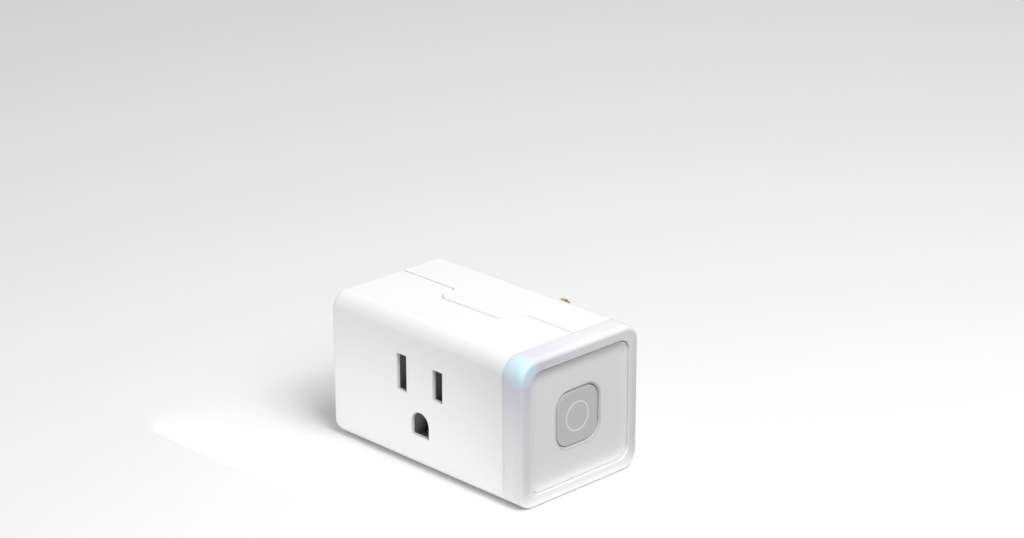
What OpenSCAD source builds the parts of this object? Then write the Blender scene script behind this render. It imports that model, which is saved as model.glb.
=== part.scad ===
// Smart plug with one three-pin outlet, a light ring and a push button.
// Millimetres. +X runs to the button end, +Y into the wall, +Z up.
// The origin is on the wall face, midway between the two flat blades.

/* [Case] */
// Overall length, closed end to light ring
body_len = 67; // [62:0.5:90]
// Depth from the wall face to the outlet face
body_depth = 40; // [38:0.5:52]
// Height of the case
body_height = 38; // [38:0.5:50]
// Distance from the closed end to the outlet's centre line
outlet_to_end = 32; // [31:0.5:40]
// Distance from the blades' axis up to the top of the case
outlet_to_top = 13.9; // [13.5:0.1:18]
// Radius of the four long edges
edge_r = 4.6; // [3:0.1:6]
// Radius round the closed end
end_r = 1.2; // [0.4:0.1:1.5]
// Wall of both shells
wall = 2; // [1.6:0.1:2.4]
// Depth of the rear cover at the parting line
cover_depth = 16.6; // [15.5:0.1:20]
// How far the rear cover stays in from the closed end
cover_inset = 0.9; // [0.6:0.1:1.2]
// Width of the cover's tab on the top
tab_w = 23.4; // [16:0.1:30]
// Forward reach of the tab
tab_reach = 6.3; // [4.8:0.1:9]
// Radius of the tab's front corners
tab_r = 3; // [1:0.1:3.2]
// Radius where the tab meets the parting line
tab_root_r = 1.5; // [0.5:0.1:1.5]
// Thickness of the locating lips
lip_t = 0.8; // [0.6:0.1:1]
// Height of the locating lips
lip_h = 2; // [1:0.1:3]

/* [Light ring] */
// Length of the ring along the case
ring_len = 6.2; // [5:0.1:9]
// Radius round the ring's open end
ring_r = 1.4; // [0.5:0.1:2]
// Width of the ring's rim, seen from the end
bezel = 3.45; // [2.8:0.05:5]
// Corner radius of the ring's opening
opening_r = 3.2; // [2:0.1:5]
// Step that carries the panel
ledge = 1.1; // [0.8:0.1:1.5]
// Length of the spigot inside the case
spigot_len = 2; // [1:0.1:2.5]
// Wall of the spigot
spigot_t = 1.2; // [0.8:0.1:1.4]

/* [End panel] */
// Depth of the panel below the ring's rim
panel_recess = 0.4; // [0.3:0.1:1.6]
// Thickness of the panel
panel_t = 1.5; // [1.2:0.1:2]
// Radius of the legs that carry the small board
leg_r = 1.3; // [1.2:0.1:1.6]
// Wall of the frame that guides the button
guide_t = 1; // [0.8:0.1:1.2]
// Height of that frame
guide_h = 1.9; // [1.5:0.1:2.2]

/* [Button] */
// Side of the button
button_w = 13.9; // [10:0.1:15]
// Corner radius of the button
button_r = 3.9; // [2:0.1:4.5]
// Depth of the button's face below the panel
button_recess = 0.75; // [0.4:0.05:1.3]
// Travel of the button
button_travel = 0.4; // [0.3:0.05:0.5]
// Thickness of the flange behind the panel
flange_t = 0.9; // [0.6:0.1:1.1]
// How far the flange reaches past the button's side
flange_w = 1; // [0.8:0.1:1.2]
// Outer radius of the inlaid ring
mark_r = 3.95; // [2.5:0.05:4.5]
// Width of the inlaid ring's line
mark_w = 0.5; // [0.4:0.05:0.8]
// Depth of the inlay
mark_t = 0.3; // [0.2:0.05:0.4]

/* [Outlet] */
// Distance between the two flat slots, and between the blades
slot_pitch = 12.7; // [12.7:0.1:13]
// Distance from the slots' line down to the ground hole
ground_drop = 11.9; // [11.9:0.1:12.2]
// Width of both slots
slot_w = 3.45; // [2.4:0.05:3.6]
// Height of the neutral slot
neutral_slot_h = 9.5; // [8.8:0.1:10]
// Height of the line slot
line_slot_h = 7.9; // [7.2:0.1:8.4]
// Width of the ground hole, arch above and flat below
ground_hole_w = 6.25; // [5.6:0.05:6.4]

/* [Prongs] */
// Thickness of both blades
blade_t = 1.5; // [1.4:0.02:1.6]
// Reach of both blades from the wall face
blade_reach = 17.8; // [15.9:0.1:18.3]
// Width of the neutral blade
neutral_w = 7.9; // [7.8:0.05:8]
// Width of the line blade
line_w = 6.3; // [6.2:0.05:6.4]
// Chamfer at the blades' tips
blade_chamfer = 1.2; // [0.6:0.1:1.6]
// Radius of the ground pin
ground_r = 2.37; // [2.35:0.01:2.42]
// Reach of the ground pin from the wall face
ground_reach = 21; // [19:0.1:22]
// Width of the tails that reach the board
tail_w = 3; // [2.4:0.1:3.4]
// Thickness of the shoulders behind the cover's wall
shoulder_t = 1.6; // [1.2:0.1:1.8]
// How far a shoulder reaches past the blade's edge
shoulder_w = 1.2; // [1:0.1:1.5]
// Thickness of the plate that holds the prongs
retainer_t = 2.2; // [1.8:0.1:2.4]
// Width and height of that plate
retainer_size = [24, 23.5];

/* [Contacts] */
// Thickness of the contact leaves
leaf_t = 0.5; // [0.4:0.05:0.6]
// Gap between the leaves of a flat contact
leaf_gap = 1.36; // [1.2:0.02:1.46]
// Width of the leaves
leaf_w = 6; // [5:0.1:6.4]
// Half the gap between the ground contact's leaves
ground_leaf_x = 2.4; // [2.25:0.05:2.6]
// Height of the ground contact's leaves
ground_leaf_h = 5.6; // [5:0.1:6]
// Length of the flat contacts
contact_len = 14.7; // [12:0.1:16]
// Distance from the front wall to the contacts
contact_inset = 2.1; // [1:0.1:3]
// Width of the contact carrier
carrier_w = 25; // [24:0.1:25.6]
// Depth of the contact carrier
carrier_d = 20; // [18:0.1:21]
// Wall of the contact carrier
carrier_wall = 1.5; // [1.2:0.1:1.8]
// Thickness of the copper strips
bar_t = 0.8; // [0.6:0.1:1]

/* [Boards] */
// Distance from the wall face to the main board
board_y = 9.4; // [9.2:0.1:10.5]
// Thickness of the main board
board_t = 1.6; // [1.2:0.1:1.8]
// Gap from the main board's edge to the case
board_margin = 0.9; // [0.6:0.1:1.2]
// Thickness of the insulation sheet
sheet_t = 0.3; // [0.2:0.05:0.4]
// Width and height of the small board behind the panel
status_size = [27, 25];
// Thickness of the small board
status_t = 1.2; // [0.8:0.1:1.4]
// Length, height and thickness of the radio board
radio_size = [21, 19.6, 0.8];

/* [Components] */
// Width, length and height of the relay
relay_size = [10, 19, 15.5];
// Radius of the relay's winding
coil_r = 3.4; // [2.8:0.1:3.6]
// Height of the relay's pole above the board
pole_h = 12; // [11:0.1:13]
// Gap between the armature and the pole at rest
pole_gap = 0.35; // [0.3:0.01:0.5]
// Gap between the relay's contacts at rest
contact_gap = 0.35; // [0.3:0.01:0.5]
// Radius of the capacitors
capacitor_r = 3.7; // [3:0.1:3.8]
// Height of the capacitors
capacitor_h = 13.5; // [10:0.5:20]
// Width and length of the transformer's core
core_size = [5, 8.4];
// Width and length of the transformer's winding
coil_size = [8.8, 5.6];
// Heights of the core's outer leg, window and middle leg
core_h = [1.5, 1.9, 2.6];
// Radius of the varistor's disc
varistor_r = 4; // [3:0.1:4.2]
// Thickness of the varistor
varistor_t = 3.4; // [2:0.1:3.6]
// Radius of the fuse resistor
fuse_r = 1.6; // [1:0.1:1.8]
// Length of the fuse resistor
fuse_len = 9; // [6:0.5:10]
// Width, length and height of the bridge rectifier
bridge_size = [6, 4.6, 2.3];
// Width, length and height of the converter chip
chip_size = [4.8, 3.8, 1.4];
// Height, length and reach of the radio board's shield
shield_size = [2.2, 14, 11];
// Width, length and height of the radio board's header
header_size = [2.2, 16, 1.6];
// Thickness, width and height of the LEDs
led_size = [1, 2.8, 2.8];
// Side of the tactile switch
switch_side = 6; // [4.5:0.1:7]
// Radius of the switch's plunger
plunger_r = 1.6; // [1.2:0.1:1.8]
// Length of the switch's plunger
plunger_len = 1.5; // [1.2:0.1:1.6]
// Thickness of the dome under the plunger
dome_t = 0.15; // [0.1:0.01:0.2]
// Distance between the link pins
link_pitch = 1.8; // [1.5:0.1:1.8]
// Thickness of the blank label
label_t = 0.2; // [0.1:0.05:0.3]
// Width and height of the blank label
label_size = [11.4, 24];

/* [Fasteners] */
// Radius of the case screws
case_screw_r = 1; // [0.9:0.05:1.2]
// Length of the case screws under the head
case_screw_len = 15; // [12:0.5:17]
// Radius of the small screws
small_screw_r = 0.75; // [0.6:0.05:0.8]
// Distance from a case screw to the case's outside
case_screw_inset = 5.8; // [5.7:0.1:6.5]

/* [Fits] */
// Gap round pieces that fit together and stay still
fit_gap = 0.05; // [0.03:0.01:0.1]
// Gap round pieces that slide
slide_gap = 0.2; // [0.15:0.01:0.3]
// Gap where the lips and the spigot nest
nest_gap = 0.1; // [0.05:0.01:0.2]

/* [Hidden] */
$fn = 64;

// The case's six sides
x_left = -outlet_to_end;
x_right = x_left + body_len;
x_seam = x_right - ring_len;
y_front = -body_depth;
y_mid = y_front / 2;
z_top = outlet_to_top;
z_bot = z_top - body_height;
z_mid = (z_top + z_bot) / 2;
x_cover = x_left + cover_inset;
over = 1;
clear_y = 0.6;

// The outlet
x_neutral = -slot_pitch / 2;
x_line = slot_pitch / 2;
z_ground = -ground_drop;
y_carrier_front = y_front + wall;
y_carrier_back = y_carrier_front + carrier_d;
y_contact_front = y_carrier_front + contact_inset;
y_bridge = y_contact_front + contact_len;
tail_end = board_y + board_t + 1.5;
retainer_z = -5.2;
ground_root_r = ground_r + 0.5;
pocket_side = 2.6;
pocket_ends = 0.85;
pocket_z = [-neutral_slot_h / 2 - pocket_ends, neutral_slot_h / 2 + pocket_ends];
ground_foot_z = z_ground - ground_leaf_h / 2 - 0.5;
carrier_z = [ground_foot_z - leaf_t - clear_y - carrier_wall,
    pocket_z[1] + carrier_wall];
line_bar_z = [leaf_w / 2 + 0.4, leaf_w / 2 + 2.2];
bar_half = 1.25;
strap_half = 2;

// Screws
case_screw_x = [x_left + case_screw_inset, x_seam - case_screw_inset + 0.8];
case_screw_z = [z_top - case_screw_inset, z_bot + case_screw_inset];
case_seat = 9;
case_joint = 14;
case_head_r = 1.9;
case_head_h = 1.4;
post_r = 2.4;
boss_r = 3;
small_head_r = 1.5;
small_head_h = 1;
retainer_screws_x = 9;
retainer_screws_z = -9;
board_screw_at = [[-17.5, z_bot + 6.6], [13, z_top - 5.3]];
board_boss_r = 2;
ear_gap = 0.1;
ear_room = carrier_z[0] - z_bot - wall;
carrier_ear_r = min(2, ear_room / 2 - 1.5 * ear_gap);
carrier_ear_z = [carrier_z[1] + carrier_ear_r + ear_gap, carrier_z[0] - carrier_ear_r - ear_gap];
ear_t = 2;
ear_lift = 2;

// The button end
x_panel = x_right - panel_recess;
x_panel_back = x_panel - panel_t;
x_button = x_panel - button_recess;
flange_back = x_panel_back - slide_gap - flange_t;
guide_w = button_w + 2 * flange_w + 2 * slide_gap;
x_status = x_seam - 0.6 - status_t;
x_status_front = x_status + status_t;
leg_at = [for (sy = [-1, 1], sz = [-1, 1]) [sy * 11.3, sz * 6.8]];
led_at = [for (sy = [-1, 1], sz = [-1, 1]) [sy * 10.6, sz * 10.2]];
plunger_gap = 0.1;
boss_len = 0.6;
x_plunger = flange_back - boss_len - plunger_gap;
x_dome = x_plunger - plunger_len - button_travel - plunger_gap - dome_t;
x_switch = x_plunger - button_travel - slide_gap;

// The relay, in its own coordinates: width, length, height above the board
relay_at = [carrier_w / 2 + 0.4, z_mid - 10];
relay_base_t = 1.2;
relay_wall = 0.8;
coil_y = 5.2;
core_r = 1.2;
cheek_t = 0.8;
sleeve_t = 0.6;
yoke_y = 10.3;
yoke_t = 1;
coil_h = [relay_base_t + yoke_t + 0.2, pole_h - 0.8];
yoke_w = 5;
yoke_x = (relay_size[0] - yoke_w) / 2;
armature_t = 0.8;
armature_y = [2.4, 11.4];
arm_y = 12.9;
arm_t = 0.4;
arm_w = 3;
rivet_r = 1.2;
rivet_t = 0.5;
rivet_h = 6.5;

// The radio board, the boards' edges and the link between the boards
radio_x = x_left + wall + 1.6;
board_x = [x_left + wall + board_margin, x_seam - spigot_len - 3.4];
board_z = [z_bot + wall + board_margin, z_top - wall - board_margin];
link_y = -board_y + 1;
link_z = [for (i = [-2.5:1:2.5]) z_mid + link_pitch * i];
link_len = 2.5;
pin_half = 0.25;

// Where the components stand on the main board
capacitor_at = [for (z = [4.1, 11.9]) [-19, z_mid + z]];
transformer_at = [-18.2, z_mid - 4.9];
varistor_gap = 0.5;
varistor_at = [case_screw_x[1] - post_r - varistor_gap - varistor_r, z_bot + 5.5];
fuse_at = [-10.4, z_mid];
bridge_at = [-1, z_mid + 2.4];
chip_at = [-0.5, z_mid + 10.7];
label_at = [-17.2, z_mid];
lead_r = 0.3;
lead_t = 0.3;

// ---- shapes that repeat

module rrect(w, h, r) {
    square([w, h - 2 * r], center = true);
    square([w - 2 * r, h], center = true);
    for (sx = [-1, 1], sy = [-1, 1])
        translate([sx * (w / 2 - r), sy * (h / 2 - r)]) circle(r);
}

module along_x(x0, x1) {
    translate([x0, 0, 0]) rotate([90, 0, 90]) linear_extrude(x1 - x0) children();
}

module along_y(y0, y1) {
    translate([0, y1, 0]) rotate([90, 0, 0]) linear_extrude(y1 - y0) children();
}

module block(x, y, z) {
    translate([x[0], y[0], z[0]]) cube([x[1] - x[0], y[1] - y[0], z[1] - z[0]]);
}

module rod_y(x, z, r, y0, y1) {
    translate([x, y0, z]) rotate([-90, 0, 0]) cylinder(r = r, h = y1 - y0);
}

module rod_x(y, z, r, x0, x1) {
    translate([x0, y, z]) rotate([0, 90, 0]) cylinder(r = r, h = x1 - x0);
}

// Cross-section of the case, moved in by inset
module section(inset) {
    translate([y_mid, z_mid])
        rrect(body_depth - 2 * inset, body_height - 2 * inset, max(edge_r - inset, 0.4));
}

// Rounded square on the button's axis
module on_button_axis(x0, x1, w, r) {
    along_x(x0, x1) translate([y_mid, z_mid]) rrect(w, w, r);
}

// Bar from 0 to len whose two corners at 0 are rounded
module blunt_bar(len, w, r) {
    translate([r, -w / 2]) square([len - r, w]);
    translate([0, r - w / 2]) square([len, w - 2 * r]);
    for (s = [-1, 1]) translate([r, s * (w / 2 - r)]) circle(r);
}

// Case-shaped block from x = 0, rounded by r there, to x = len
module case_block(len, r) {
    mid_y = body_depth / 2 - edge_r;
    mid_z = body_height / 2 - edge_r;
    translate([0, y_mid, z_mid]) {
        translate([0, 0, -mid_z]) linear_extrude(2 * mid_z) blunt_bar(len, body_depth, r);
        translate([0, mid_y, 0]) rotate([90, 0, 0])
            linear_extrude(2 * mid_y) blunt_bar(len, body_height, r);
        for (sy = [-1, 1], sz = [-1, 1])
            translate([0, sy * mid_y, sz * mid_z]) rotate([0, 90, 0]) rotate_extrude() {
                translate([0, r]) square([edge_r, len - r]);
                square([edge_r - r, len]);
                translate([edge_r - r, r]) circle(r);
            }
    }
}

// Outline of the tab on the top, from above
module tab_outline() {
    y_tab = -cover_depth - tab_reach;
    translate([-tab_w / 2 + tab_r, y_tab]) square([tab_w - 2 * tab_r, tab_reach + over]);
    translate([-tab_w / 2, y_tab + tab_r]) square([tab_w, tab_reach - tab_r + over]);
    for (s = [-1, 1]) {
        translate([s * (tab_w / 2 - tab_r), y_tab + tab_r]) circle(tab_r);
        difference() {
            translate([s * (tab_w + tab_root_r) / 2, (over - tab_root_r) / 2 - cover_depth])
                square([tab_root_r, tab_root_r + over], center = true);
            translate([s * (tab_w / 2 + tab_root_r), -cover_depth - tab_root_r]) circle(tab_root_r);
        }
    }
}

// Everything that belongs to the rear cover's side of the parting line
module cover_side() {
    block([x_cover, x_right], [-cover_depth, over], [z_bot - over, z_top + over]);
    translate([0, 0, z_mid]) linear_extrude(z_top - z_mid + over) tab_outline();
}

module ground_outline() {
    r = ground_hole_w / 2;
    translate([0, z_ground]) circle(r);
    translate([-r, z_ground - r]) square([2 * r, r]);
}

module slots(y0, y1) {
    block([x_neutral - slot_w / 2, x_neutral + slot_w / 2], [y0, y1],
        [-neutral_slot_h / 2, neutral_slot_h / 2]);
    block([x_line - slot_w / 2, x_line + slot_w / 2], [y0, y1], [-line_slot_h / 2, line_slot_h / 2]);
    along_y(y0, y1) ground_outline();
}

module at_case_screws() {
    for (x = case_screw_x, z = case_screw_z) translate([x, 0, z]) children();
}

// Places children on the main board: width along X, length along Z, height away from the wall
module on_board(x, z) {
    translate([x, -board_y - board_t, z]) rotate([90, 0, 0]) children();
}

module in_relay() {
    on_board(relay_at[0], relay_at[1]) children();
}

// ---- case

module front_housing() color("white") {
    difference() {
        union() {
            difference() {
                translate([x_left, 0, 0]) case_block(x_seam - x_left, end_r);
                along_x(x_left + wall, x_seam + over) section(wall);
                cover_side();
            }
            at_case_screws() rod_y(0, 0, post_r, y_front + wall / 2, -case_joint);
            for (z = carrier_ear_z)
                rod_y(0, z, carrier_ear_r, y_front + wall / 2, y_front + wall + ear_lift);
        }
        slots(y_front - over, y_front + wall + over);
        at_case_screws()
            rod_y(0, 0, case_screw_r + fit_gap, -case_seat - case_screw_len - over, over);
        for (z = carrier_ear_z)
            rod_y(0, z, small_screw_r + fit_gap, y_front + wall / 2, 0);
    }
}

module rear_cover() color("white") difference() {
    union() {
        difference() {
            intersection() {
                along_x(x_cover, x_seam) section(0);
                cover_side();
            }
            along_x(x_left + wall, x_seam + over) section(wall);
        }
        at_case_screws() rod_y(0, 0, boss_r, -case_joint, -wall / 2);
        for (p = board_screw_at) rod_y(p[0], p[1], board_boss_r, -board_y, -wall / 2);
        for (s = [-1, 1])
            rod_y(s * retainer_screws_x, retainer_screws_z, board_boss_r,
                -wall - shoulder_t, -wall / 2);
        cover_lip(z_top - wall - nest_gap - lip_t, z_top - wall - nest_gap, z_top - wall / 2);
        cover_lip(z_bot + wall + nest_gap, z_bot + wall + nest_gap + lip_t, z_bot + wall / 2);
    }
    at_case_screws() {
        rod_y(0, 0, case_head_r + nest_gap, -case_seat, over);
        rod_y(0, 0, case_screw_r + nest_gap, -case_joint - over, 0);
    }
    for (p = board_screw_at)
        rod_y(p[0], p[1], small_screw_r + fit_gap, -board_y - over, -board_y + 5);
    for (s = [-1, 1])
        rod_y(s * retainer_screws_x, retainer_screws_z, small_screw_r + fit_gap,
            -wall - shoulder_t - over, -wall / 2);
    blade_slot(x_neutral, neutral_w);
    blade_slot(x_line, line_w);
    rod_y(0, z_ground, ground_root_r + fit_gap, -wall - over, over);
    label_block(over);
}

// Bar inside the shells: z0..z1 is the lip, and root_z lies in the cover's wall
module cover_lip(z0, z1, root_z) {
    x0 = x_left + edge_r;
    x1 = x_seam - spigot_len - 0.4;
    block([x0, x1], [-cover_depth - lip_h, -cover_depth + lip_h], [z0, z1]);
    block([x0, x1], [-cover_depth + nest_gap, -cover_depth + lip_h], [min(z0, root_z), max(z1, root_z)]);
}

module blade_slot(x, w) {
    block([x - blade_t / 2 - fit_gap, x + blade_t / 2 + fit_gap], [-wall - over, over],
        [-w / 2 - fit_gap, w / 2 + fit_gap]);
}

module label_block(y1) {
    along_y(-label_t, y1) translate(label_at) rrect(label_size[0], label_size[1], 1);
}

module rating_label() color("lightgray") label_block(0);

module light_ring() color("ghostwhite") difference() {
    union() {
        translate([x_right, 0, 0]) mirror([1, 0, 0]) case_block(ring_len, ring_r);
        along_x(x_seam - spigot_len, x_seam + over) section(wall + nest_gap);
    }
    along_x(x_seam - spigot_len - over, x_panel_back) section(wall + nest_gap + spigot_t);
    along_x(x_panel_back - over, x_right + over) ring_opening(-ledge);
    along_x(x_panel_back, x_right + over) ring_opening(0);
}

module ring_opening(grow) {
    translate([y_mid, z_mid]) rrect(body_depth - 2 * bezel + 2 * grow, body_height - 2 * bezel + 2 * grow,
        opening_r + grow);
}

module end_panel() color("gainsboro") difference() {
    union() {
        along_x(x_panel_back, x_panel) ring_opening(-fit_gap);
        on_button_axis(x_panel_back - guide_h, x_panel_back + panel_t / 2,
            guide_w + 2 * guide_t, button_r);
        for (p = leg_at)
            rod_x(y_mid + p[0], z_mid + p[1], leg_r, x_status_front, x_panel_back + panel_t / 2);
    }
    on_button_axis(x_panel_back - guide_h - over, x_panel_back, guide_w, button_r);
    on_button_axis(x_panel_back - over, x_panel + over, button_w + 2 * slide_gap, button_r + slide_gap);
    for (p = leg_at)
        rod_x(y_mid + p[0], z_mid + p[1], small_screw_r + fit_gap, x_status_front - over, x_panel_back);
}

// ---- button

module power_button() color("silver") difference() {
    union() {
        on_button_axis(flange_back, x_button, button_w, button_r);
        on_button_axis(flange_back, flange_back + flange_t, button_w + 2 * flange_w, button_r);
        rod_x(y_mid, z_mid, plunger_r, flange_back - boss_len, flange_back + flange_t);
    }
    inlay(x_button + over);
}

module inlay(x1) {
    translate([x_button - mark_t, y_mid, z_mid]) rotate([0, 90, 0]) difference() {
        cylinder(r = mark_r, h = x1 - x_button + mark_t);
        translate([0, 0, -over]) cylinder(r = mark_r - mark_w, h = x1 - x_button + mark_t + 2 * over);
    }
}

module button_ring_mark() color("white") inlay(x_button);

// ---- prongs

// Stamped blade: shoulders behind the wall, and a tail that reaches the board
module blade(x, w) {
    back = -wall - shoulder_t;
    half = w / 2;
    along_x(x - blade_t / 2, x + blade_t / 2) polygon([
        [blade_reach, half - blade_chamfer], [blade_reach - blade_chamfer, half], [-wall, half],
        [-wall, half + shoulder_w], [back, half + shoulder_w], [back, tail_w / 2], [-tail_end, tail_w / 2],
        [-tail_end, -tail_w / 2], [back, -tail_w / 2], [back, -half - shoulder_w],
        [-wall, -half - shoulder_w], [-wall, -half], [blade_reach - blade_chamfer, -half],
        [blade_reach, -half + blade_chamfer]]);
}

module neutral_blade() color("goldenrod") blade(x_neutral, neutral_w);

module line_blade() color("goldenrod") blade(x_line, line_w);

module ground_pin() color("goldenrod") {
    rod_y(0, z_ground, ground_r, 0, ground_reach - ground_r);
    translate([0, ground_reach - ground_r, z_ground]) rotate([-90, 0, 0]) rotate_extrude() intersection() {
        circle(ground_r);
        square(ground_r);
    }
    rod_y(0, z_ground, ground_root_r, -wall, 0);
    rod_y(0, z_ground, ground_root_r + shoulder_w, -wall - shoulder_t, -wall);
    rod_y(0, z_ground, tail_w / 2, -tail_end, -wall - shoulder_t);
}

// Holes round the three tails
module tail_holes(y0, y1, gap) {
    for (x = [x_neutral, x_line])
        block([x - blade_t / 2 - gap, x + blade_t / 2 + gap], [y0, y1],
            [-tail_w / 2 - gap, tail_w / 2 + gap]);
    rod_y(0, z_ground, tail_w / 2 + gap, y0, y1);
}

module prong_retainer() color("dimgray") {
    y1 = -wall - shoulder_t;
    difference() {
        along_y(y1 - retainer_t, y1) translate([0, retainer_z]) rrect(retainer_size[0], retainer_size[1], 2);
        tail_holes(y1 - retainer_t - over, y1 + over, fit_gap);
        for (s = [-1, 1])
            rod_y(s * retainer_screws_x, retainer_screws_z, small_screw_r + nest_gap,
                y1 - retainer_t - over, 0);
    }
}

// Screw along Y: the head's seat is at y, and the shank runs towards dir
module screw_y(x, y, z, r, len, head_r, head_h, dir) {
    rod_y(x, z, r, min(y, y + dir * len), max(y, y + dir * len));
    rod_y(x, z, head_r, min(y, y - dir * head_h), max(y, y - dir * head_h));
}

module retainer_screws() color("silver") for (s = [-1, 1])
    screw_y(s * retainer_screws_x, -wall - shoulder_t - retainer_t, retainer_screws_z,
        small_screw_r, retainer_t + shoulder_t + 0.6, small_head_r, small_head_h, 1);

// ---- outlet

module contact_carrier() color("darkslategray") difference() {
    union() {
        block([-carrier_w / 2, carrier_w / 2], [y_carrier_front, y_carrier_back], carrier_z);
        y0 = y_carrier_front + ear_lift;
        for (z = carrier_ear_z) {
            rod_y(0, z, carrier_ear_r, y0, y0 + ear_t);
            block([-carrier_ear_r, carrier_ear_r], [y0, y0 + ear_t], [min(z, z_mid), max(z, z_mid)]);
        }
    }
    carrier_pocket(x_neutral, pocket_side, pocket_z);
    carrier_pocket(x_line, pocket_side, pocket_z);
    carrier_pocket(0, ground_leaf_x + leaf_t + clear_y,
        [ground_foot_z - leaf_t - clear_y, z_ground + ground_hole_w / 2 + 0.2]);
    for (z = carrier_ear_z)
        rod_y(0, z, small_screw_r + nest_gap, y_carrier_front + ear_lift - over, y_carrier_back);
}

// Passage through the carrier for one contact
module carrier_pocket(x, half, z) {
    block([x - half, x + half], [y_carrier_front - over, y_carrier_back + over], z);
}

module carrier_screws() color("silver") for (z = carrier_ear_z)
    screw_y(0, y_carrier_front + ear_lift + ear_t, z, small_screw_r, ear_lift + ear_t + wall / 2 - 0.2,
        small_head_r, small_head_h, -1);

// Two leaves and the bridge behind them
module flat_contact(x, bridge_top) {
    side = leaf_gap / 2 + leaf_t;
    difference() {
        block([x - side, x + side], [y_contact_front, y_bridge], [-leaf_w / 2, leaf_w / 2]);
        block([x - leaf_gap / 2, x + leaf_gap / 2], [y_contact_front - over, y_bridge - leaf_t],
            [-leaf_w / 2 - over, leaf_w / 2 + over]);
    }
    block([x - side, x + side], [y_bridge - leaf_t, y_bridge], [-leaf_w / 2, bridge_top]);
}

module neutral_contact() color("peru") flat_contact(x_neutral, leaf_w / 2);

module line_contact() color("peru") flat_contact(x_line, line_bar_z[1]);

module ground_contact() color("peru") {
    out = ground_leaf_x + leaf_t;
    difference() {
        block([-out, out], [y_contact_front, y_bridge],
            [ground_foot_z - leaf_t, z_ground + ground_leaf_h / 2]);
        block([-ground_leaf_x, ground_leaf_x], [y_contact_front - over, y_bridge + over],
            [ground_foot_z, z_ground + ground_leaf_h / 2 + over]);
    }
}

// Strip from the tail of the neutral blade to its contact
module neutral_busbar() color("chocolate") {
    block([x_neutral - bar_half, x_neutral + bar_half], [-tail_end - bar_t, -tail_end],
        [-leaf_w / 2, leaf_w / 2]);
    block([x_neutral - bar_t / 2, x_neutral + bar_t / 2], [y_bridge, -tail_end - bar_t],
        [-leaf_w / 2, leaf_w / 2]);
}

// Strip from the board to the line contact
module line_busbar() color("chocolate") {
    y_foot = -board_y - board_t;
    block([x_line - bar_t / 2, x_line + bar_t / 2], [y_bridge, y_foot], line_bar_z);
    block([x_line - bar_t / 2, x_line + bar_t / 2 + strap_half], [y_foot - bar_t, y_foot], line_bar_z);
}

module ground_strap() color("chocolate") {
    block([-strap_half, strap_half], [-tail_end - bar_t, -tail_end],
        [ground_foot_z - leaf_t, z_ground + tail_w / 2]);
    block([-strap_half, strap_half], [y_bridge, -tail_end], [ground_foot_z - leaf_t, ground_foot_z]);
}

// ---- main board

module board_plate(y0, y1, x) {
    difference() {
        block(x, [y0, y1], board_z);
        at_case_screws() rod_y(0, 0, boss_r + slide_gap, y0 - over, y1 + over);
        for (i = [0, 1], j = [0, 1])
            corner_block(case_screw_x[i], case_screw_z[j], i == 0 ? -1 : 1, j == 0 ? 1 : -1, y0, y1);
        tail_holes(y0 - over, y1 + over, slide_gap);
        for (p = board_screw_at) rod_y(p[0], p[1], small_screw_r + nest_gap, y0 - over, y1 + over);
    }
}

// What is left of a board's corner outside a case screw
module corner_block(x, z, side_x, side_z, y0, y1) {
    block([min(x, x + side_x * edge_r), max(x, x + side_x * edge_r)], [y0 - over, y1 + over],
        [min(z, z + side_z * edge_r), max(z, z + side_z * edge_r)]);
}

module main_board() color("seagreen") board_plate(-board_y - board_t, -board_y, board_x);

module board_screws() color("silver") for (p = board_screw_at)
    screw_y(p[0], -board_y - board_t, p[1], small_screw_r, board_t + 4, small_head_r, small_head_h, 1);

module insulation_sheet() color("lightyellow") difference() {
    board_plate(-board_y, -board_y + sheet_t, [board_x[0] + 1, board_x[1] - 4]);
    for (p = board_screw_at)
        rod_y(p[0], p[1], board_boss_r + slide_gap, -board_y - over, over);
}

module bulk_capacitors() color("midnightblue") for (p = capacitor_at) on_board(p[0], p[1]) {
    cylinder(r = capacitor_r, h = capacitor_h - lead_t);
    cylinder(r = capacitor_r - lead_t, h = capacitor_h);
}

module in_transformer() {
    on_board(transformer_at[0], transformer_at[1]) children();
}

// Core of three legs along Z; the winding is round the middle one
module transformer_core() color("dimgray") in_transformer() difference() {
    translate([-core_size[0] / 2, -core_size[1] / 2, 0])
        cube([core_size[0], core_size[1], 2 * (core_h[0] + core_h[1]) + core_h[2]]);
    window = coil_size[1] + 4 * fit_gap;
    for (h = [core_h[0], core_h[0] + core_h[1] + core_h[2]])
        translate([-core_size[0] / 2 - over, -window / 2, h])
            cube([core_size[0] + 2 * over, window, core_h[1]]);
}

module transformer_winding() color("gold") in_transformer() difference() {
    translate([-coil_size[0] / 2, -coil_size[1] / 2, core_h[0]])
        cube([coil_size[0], coil_size[1], 2 * core_h[1] + core_h[2]]);
    translate([-core_size[0] / 2 - fit_gap, -coil_size[1] / 2 - over, core_h[0] + core_h[1] - fit_gap])
        cube([core_size[0] + 2 * fit_gap, coil_size[1] + 2 * over, core_h[2] + 2 * fit_gap]);
}

module varistor() color("steelblue") on_board(varistor_at[0], varistor_at[1]) {
    translate([0, varistor_t / 2, varistor_r + lead_t]) rotate([90, 0, 0])
        cylinder(r = varistor_r, h = varistor_t);
    for (x = [-2.5, 2.5]) translate([x, 0, 0]) cylinder(r = lead_r, h = 1.2);
}

module fuse_resistor() color("olivedrab") on_board(fuse_at[0], fuse_at[1]) {
    h = fuse_r + lead_r;
    reach = fuse_len / 2 + 1.2;
    translate([0, fuse_len / 2, h]) rotate([90, 0, 0]) cylinder(r = fuse_r, h = fuse_len);
    translate([0, reach, h]) rotate([90, 0, 0]) cylinder(r = lead_r, h = 2 * reach);
    for (y = [-reach, reach]) translate([0, y, 0]) cylinder(r = lead_r, h = h);
}

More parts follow.
